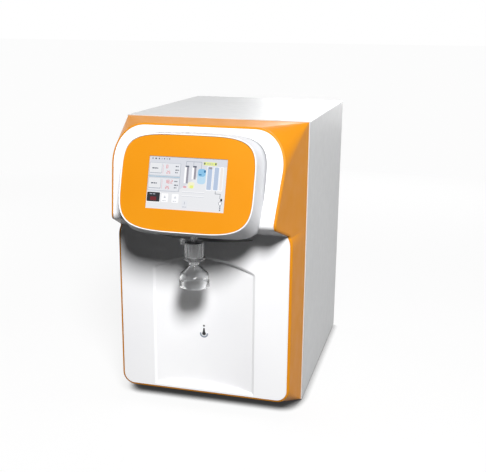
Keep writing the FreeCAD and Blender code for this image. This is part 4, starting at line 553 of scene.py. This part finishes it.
def add_pod_walls():
    edge = [(0.15, 2.3), (0.15, 0.25), (0.35, 0.0), (RIM_WIDTH - 1.0, 0.0), (RIM_WIDTH - 0.55, 0.1),
            (RIM_WIDTH - 0.2, 0.35), (RIM_WIDTH - 0.05, 0.8)]
    rings = [face_outline(grow, depth) for grow, depth in edge]
    face = face_outline(RIM_WIDTH, 1.2)
    wall = outline(WALL_HALF_WIDTH, WALL_HALF_TOP, WALL_HALF_BOTTOM, WALL_ROUND,
                   lambda u, v: on_face(u, v, -WALL_DEPTH), WALL_TAPER)
    root = outline(ROOT_HALF_WIDTH, ROOT_HALF_TOP, ROOT_HALF_BOTTOM, ROOT_ROUND,
                   lambda u, v: case_point(u, ROOT_Y, ROOT_MIDDLE + v))
    rings += [between(face, wall, step / WALL_STEPS) for step in range(WALL_STEPS)]
    rings += [between(wall, root, step / WALL_STEPS) for step in range(WALL_STEPS + 1)]
    points = [point for ring in rings for point in ring]
    faces = []
    for low in range(len(rings) - 1):
        for index in range(OUTLINE_COUNT):
            after = (index + 1) % OUTLINE_COUNT
            base = low * OUTLINE_COUNT
            over = base + OUTLINE_COUNT
            faces.append((base + index, over + index, over + after, base + after))
    piece = new_piece("pod_walls", points, faces)
    piece.data.materials.append(finishes["pod_white"])
    piece.data.shade_smooth()
    piece.data.set_sharp_from_angle(angle=SHARP_ANGLE)
    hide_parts("pod_shell")


# Bead round the coloured face, and the water symbol on the recess floor

BEAD_RADIUS = 0.75


def add_face_bead():
    data = bpy.data.curves.new("face_bead", "CURVE")
    data.dimensions = "3D"
    data.bevel_depth = BEAD_RADIUS * MM
    data.bevel_resolution = 3
    points = face_outline(RIM_WIDTH / 2, 0.0)
    spline = data.splines.new("POLY")
    spline.points.add(len(points) - 1)
    spline.use_cyclic_u = True
    for place, point in zip(spline.points, points):
        place.co = (*point, 1.0)
    bead = bpy.data.objects.new("face_bead", data)
    data.materials.append(finishes["white"])
    bpy.context.scene.collection.objects.link(bead)
    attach(bead, "housing")


SYMBOL_X = -1.9
SYMBOL_Y = -70.05
SYMBOL_PROUD = 0.3
DOT_Z = 156.8
DOT_RADIUS = 1.8
DROP_Z = 141.6
DROP_RADIUS = 3.6
DROP_TOP = 152.6
DROP_NECK = 1.5
DROP_WAIST = DROP_NECK * 1.2
DROP_WAIST_Z = DROP_Z + 6.5
DOT_SIDES = 24
DISH_OUTER = 7.9
DISH_INNER = 4.9
DISH_START = math.radians(168)
DISH_END = math.radians(368)


def flat_shape(name, shape, y, finish):
    """A flat closed outline of x and z, standing a little proud of the surface at that depth."""
    count = len(shape)
    points = [case_point(x, y, z) for x, z in shape]
    points += [case_point(x, y - SYMBOL_PROUD, z) for x, z in shape]
    faces = [tuple(range(count)), tuple(reversed(range(count, 2 * count)))]
    for index in range(count):
        after = (index + 1) % count
        faces.append((index, index + count, after + count, after))
    piece = new_piece(name, points, faces)
    piece.data.materials.append(finishes[finish])


def arc(x, z, radius, start, end, steps):
    turn = (end - start) / steps
    return [(x + radius * math.cos(start + turn * i), z + radius * math.sin(start + turn * i))
            for i in range(steps + 1)]


def closed_arc(x, z, radius, sides):
    return arc(x, z, radius, 0, 2 * math.pi * (sides - 1) / sides, sides - 1)


def add_symbol():
    flat_shape("symbol_dot", closed_arc(SYMBOL_X, DOT_Z, DOT_RADIUS, DOT_SIDES), SYMBOL_Y, "ink")
    drop = arc(SYMBOL_X, DROP_Z, DROP_RADIUS, math.radians(128), math.radians(412), 28)
    drop += [(SYMBOL_X + DROP_WAIST, DROP_WAIST_Z)]
    drop += arc(SYMBOL_X, DROP_TOP - DROP_NECK, DROP_NECK, 0, math.pi, 8)
    drop += [(SYMBOL_X - DROP_WAIST, DROP_WAIST_Z)]
    flat_shape("symbol_drop", drop, SYMBOL_Y, "ink")
    dish = arc(SYMBOL_X, DROP_Z, DISH_OUTER, DISH_START, DISH_END, 30)
    dish += list(reversed(arc(SYMBOL_X, DROP_Z, DISH_INNER, DISH_START, DISH_END, 30)))
    flat_shape("symbol_dish", dish, SYMBOL_Y, "pale_ink")


# Dark strip of painted shade between the pod's underside and the lower panel, widest in the middle

SHADE_STRIP_Y = -80.2
SHADE_STRIP_HALF = 90.0
SHADE_STRIP_TOP = 329.0
SHADE_STRIP_LOW = 319.6
SHADE_STRIP_RISE = 7.6
SHADE_STRIP_BOW = 2.2
SHADE_STRIP_STEPS = 24


def add_pod_painted_shade():
    lower = []
    for step in range(SHADE_STRIP_STEPS + 1):
        share = 2 * step / SHADE_STRIP_STEPS - 1
        lower.append((SHADE_STRIP_HALF * share, SHADE_STRIP_LOW + SHADE_STRIP_RISE * abs(share) ** SHADE_STRIP_BOW))
    upper = [(SHADE_STRIP_HALF, SHADE_STRIP_TOP), (-SHADE_STRIP_HALF, SHADE_STRIP_TOP)]
    # Painted shade: a black sheet laid where the gap under the pod falls into shadow.
    flat_shape("pod_painted_shade", lower + upper, SHADE_STRIP_Y, "black_plastic")


# Filling bell with a rounded shoulder and a beaded rim, and the dish and ring at its neck

BELL_X = 0.0
BELL_Y = -130.0
BELL_TURNS = 96
BELL_RADIUS = 26.0
BELL_WALL = 1.8
BELL_BEAD = 1.15
BEAD_OVERLAP = 0.67
BELL_TOP = 296.0
BELL_NECK_OUTER = 7.9
BELL_NECK_BORE = 6.9
BELL_CONE_TOP = 291.0
BELL_SHOULDER = 268.2
BELL_SHOULDER_ROUND = 14.0
BELL_BOTTOM = 252.5
CONE_TURN = math.radians(47)
DISH_PROFILE = ((8.3, 296.6), (12.0, 297.4), (16.0, 299.6), (18.9, 302.6), (19.3, 303.1),
                (18.9, 303.5), (18.0, 303.2), (15.4, 300.7), (11.8, 298.7), (8.3, 298.1))
RING_RADIUS = 8.6
RING_Z = 294.6
RING_THICK = 1.25
RING_SIDES = 16


def turned_piece(name, profile):
    """A closed outline of radius and height turned about the bell's upright axis."""
    count = len(profile)
    points = []
    for turn in range(BELL_TURNS):
        angle = 2 * math.pi * turn / BELL_TURNS
        for radius, z in profile:
            points.append(case_point(BELL_X + radius * math.cos(angle), BELL_Y + radius * math.sin(angle), z))
    faces = []
    for turn in range(BELL_TURNS):
        first = turn * count
        second = (turn + 1) % BELL_TURNS * count
        for index in range(count):
            after = (index + 1) % count
            faces.append((first + index, first + after, second + after, second + index))
    piece = new_piece(name, points, faces)
    piece.data.shade_smooth()
    piece.data.set_sharp_from_angle(angle=SHARP_ANGLE)
    return piece


def bell_outline():
    """Neck, cone and skirt down the outside, a beaded rim, and the same line back up inside."""
    centre = BELL_RADIUS - BELL_SHOULDER_ROUND
    inner_round = BELL_SHOULDER_ROUND - BELL_WALL
    bead_middle = BELL_RADIUS - BELL_WALL / 2
    top = [(BELL_NECK_OUTER, BELL_TOP), (BELL_NECK_OUTER, BELL_CONE_TOP + 0.6),
           (BELL_NECK_OUTER + 0.6, BELL_CONE_TOP - 0.5)]
    outside = arc(centre, BELL_SHOULDER, BELL_SHOULDER_ROUND, CONE_TURN, 0, 14)
    edge = arc(bead_middle, BELL_BOTTOM + BELL_BEAD, BELL_BEAD, BEAD_OVERLAP, -math.pi - BEAD_OVERLAP, 16)
    inside = arc(centre, BELL_SHOULDER, inner_round, 0, CONE_TURN, 14)
    bore = [(BELL_NECK_BORE + 0.3, BELL_CONE_TOP - BELL_WALL), (BELL_NECK_BORE, BELL_CONE_TOP),
            (BELL_NECK_BORE, BELL_TOP)]
    return top + outside + edge + inside + bore


def add_saucer():
    """Thin flared dish under the filter's flange, and the ring where the bell's neck ends."""
    ring = closed_arc(RING_RADIUS, RING_Z, RING_THICK, RING_SIDES)
    for name, profile in (("filter_dish", list(reversed(DISH_PROFILE))), ("neck_ring", ring)):
        piece = turned_piece(name, profile)
        piece.data.materials.append(finishes["capsule"])


def add_bell():
    bell = turned_piece("bell_clear", bell_outline())
    bell.data.materials.append(finishes["bell"])
    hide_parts("filling_bell")


# Floor, lights and world

def seen_directly(tree):
    """1 for rays that show a surface, straight or in gloss and glass, and 0 for the others."""
    path = tree.nodes.new("ShaderNodeLightPath")
    total = path.outputs["Is Camera Ray"]
    for name in ("Is Glossy Ray", "Is Transmission Ray"):
        larger = tree.nodes.new("ShaderNodeMath")
        larger.operation = "MAXIMUM"
        tree.links.new(total, larger.inputs[0])
        tree.links.new(path.outputs[name], larger.inputs[1])
        total = larger.outputs["Value"]
    straight = tree.nodes.new("ShaderNodeMath")
    straight.operation = "LESS_THAN"
    straight.inputs[1].default_value = 0.5
    tree.links.new(path.outputs["Diffuse Depth"], straight.inputs[0])
    both = tree.nodes.new("ShaderNodeMath")
    both.operation = "MULTIPLY"
    tree.links.new(total, both.inputs[0])
    tree.links.new(straight.outputs["Value"], both.inputs[1])
    return both.outputs["Value"]


def add_floor():
    bpy.ops.mesh.primitive_plane_add(size=60.0, location=(0, 0, 0))
    floor = bpy.context.object
    floor.name = "floor"
    material = bpy.data.materials.new("floor")
    material.use_nodes = True
    tree = material.node_tree
    tree.nodes.clear()
    output = tree.nodes.new("ShaderNodeOutputMaterial")
    diffuse = tree.nodes.new("ShaderNodeBsdfDiffuse")
    seen = seen_directly(tree)
    tree.links.new(mixed(tree, seen, FLOOR_BOUNCE, FLOOR_SEEN), diffuse.inputs["Color"])
    # Most of the seen floor glows evenly, so the cast shadow stays faint; an occlusion test darkens the glow
    # near the unit as painted contact shade.
    crevice = tree.nodes.new("ShaderNodeAmbientOcclusion")
    crevice.inputs["Distance"].default_value = CREVICE_REACH
    glow = tree.nodes.new("ShaderNodeEmission")
    open_share = ranged(tree, crevice.outputs["AO"], FLOOR_CREVICE, FLOOR_OPEN, CREVICE_DARK, CREVICE_LIGHT)
    tree.links.new(open_share, glow.inputs["Strength"])
    distance = tree.nodes.new("ShaderNodeVectorMath")
    distance.operation = "LENGTH"
    tree.links.new(object_coordinates(tree), distance.inputs[0])
    far = ranged(tree, distance.outputs["Value"], FLOOR_LIFT, 1.0, FLOOR_FADE_START, FLOOR_FADE_END)
    amount = tree.nodes.new("ShaderNodeMath")
    amount.operation = "MULTIPLY"
    tree.links.new(far, amount.inputs[0])
    tree.links.new(seen, amount.inputs[1])
    blend = tree.nodes.new("ShaderNodeMixShader")
    tree.links.new(amount.outputs["Value"], blend.inputs["Fac"])
    tree.links.new(diffuse.outputs["BSDF"], blend.inputs[1])
    tree.links.new(glow.outputs["Emission"], blend.inputs[2])
    tree.links.new(blend.outputs["Shader"], output.inputs["Surface"])
    floor.data.materials.append(material)


def add_area(name, position, target, size, power):
    data = bpy.data.lights.new(name, "AREA")
    data.shape = "DISK"
    data.size = size
    data.energy = power
    light = bpy.data.objects.new(name, data)
    place = case_point(*position)
    light.location = place
    light.rotation_euler = (case_point(*target) - place).to_track_quat("-Z", "Y").to_euler()
    bpy.context.scene.collection.objects.link(light)


def add_lights():
    add_area("key", (1035, -2330, 2440), (0, -80, 260), 0.9, 168.0)
    add_area("right", (1900, 400, 60), (100, 150, 200), 1.2, 13.5)
    add_area("left", (-1900, 800, 700), (-100, 200, 300), 1.4, 15.0)
    add_area("rear", (150, 2700, 860), (0, 400, 300), 1.4, 34.0)
    world = bpy.data.worlds.new("studio")
    bpy.context.scene.world = world
    world.use_nodes = True
    tree = world.node_tree
    tree.nodes.clear()
    output = tree.nodes.new("ShaderNodeOutputWorld")
    background = tree.nodes.new("ShaderNodeBackground")
    background.inputs["Color"].default_value = (1, 1, 1, 1)
    strength = ranged(tree, seen_directly(tree), WORLD_FILL, 1.0, 0.0, 1.0)
    tree.links.new(strength, background.inputs["Strength"])
    tree.links.new(background.outputs["Background"], output.inputs["Surface"])


add_camera()
finish_nodes()
draw_screen()
add_pod_walls()
add_face_bead()
add_symbol()
add_pod_painted_shade()
add_saucer()
add_bell()
add_floor()
add_lights()
bpy.context.scene.view_settings.view_transform = "Standard"
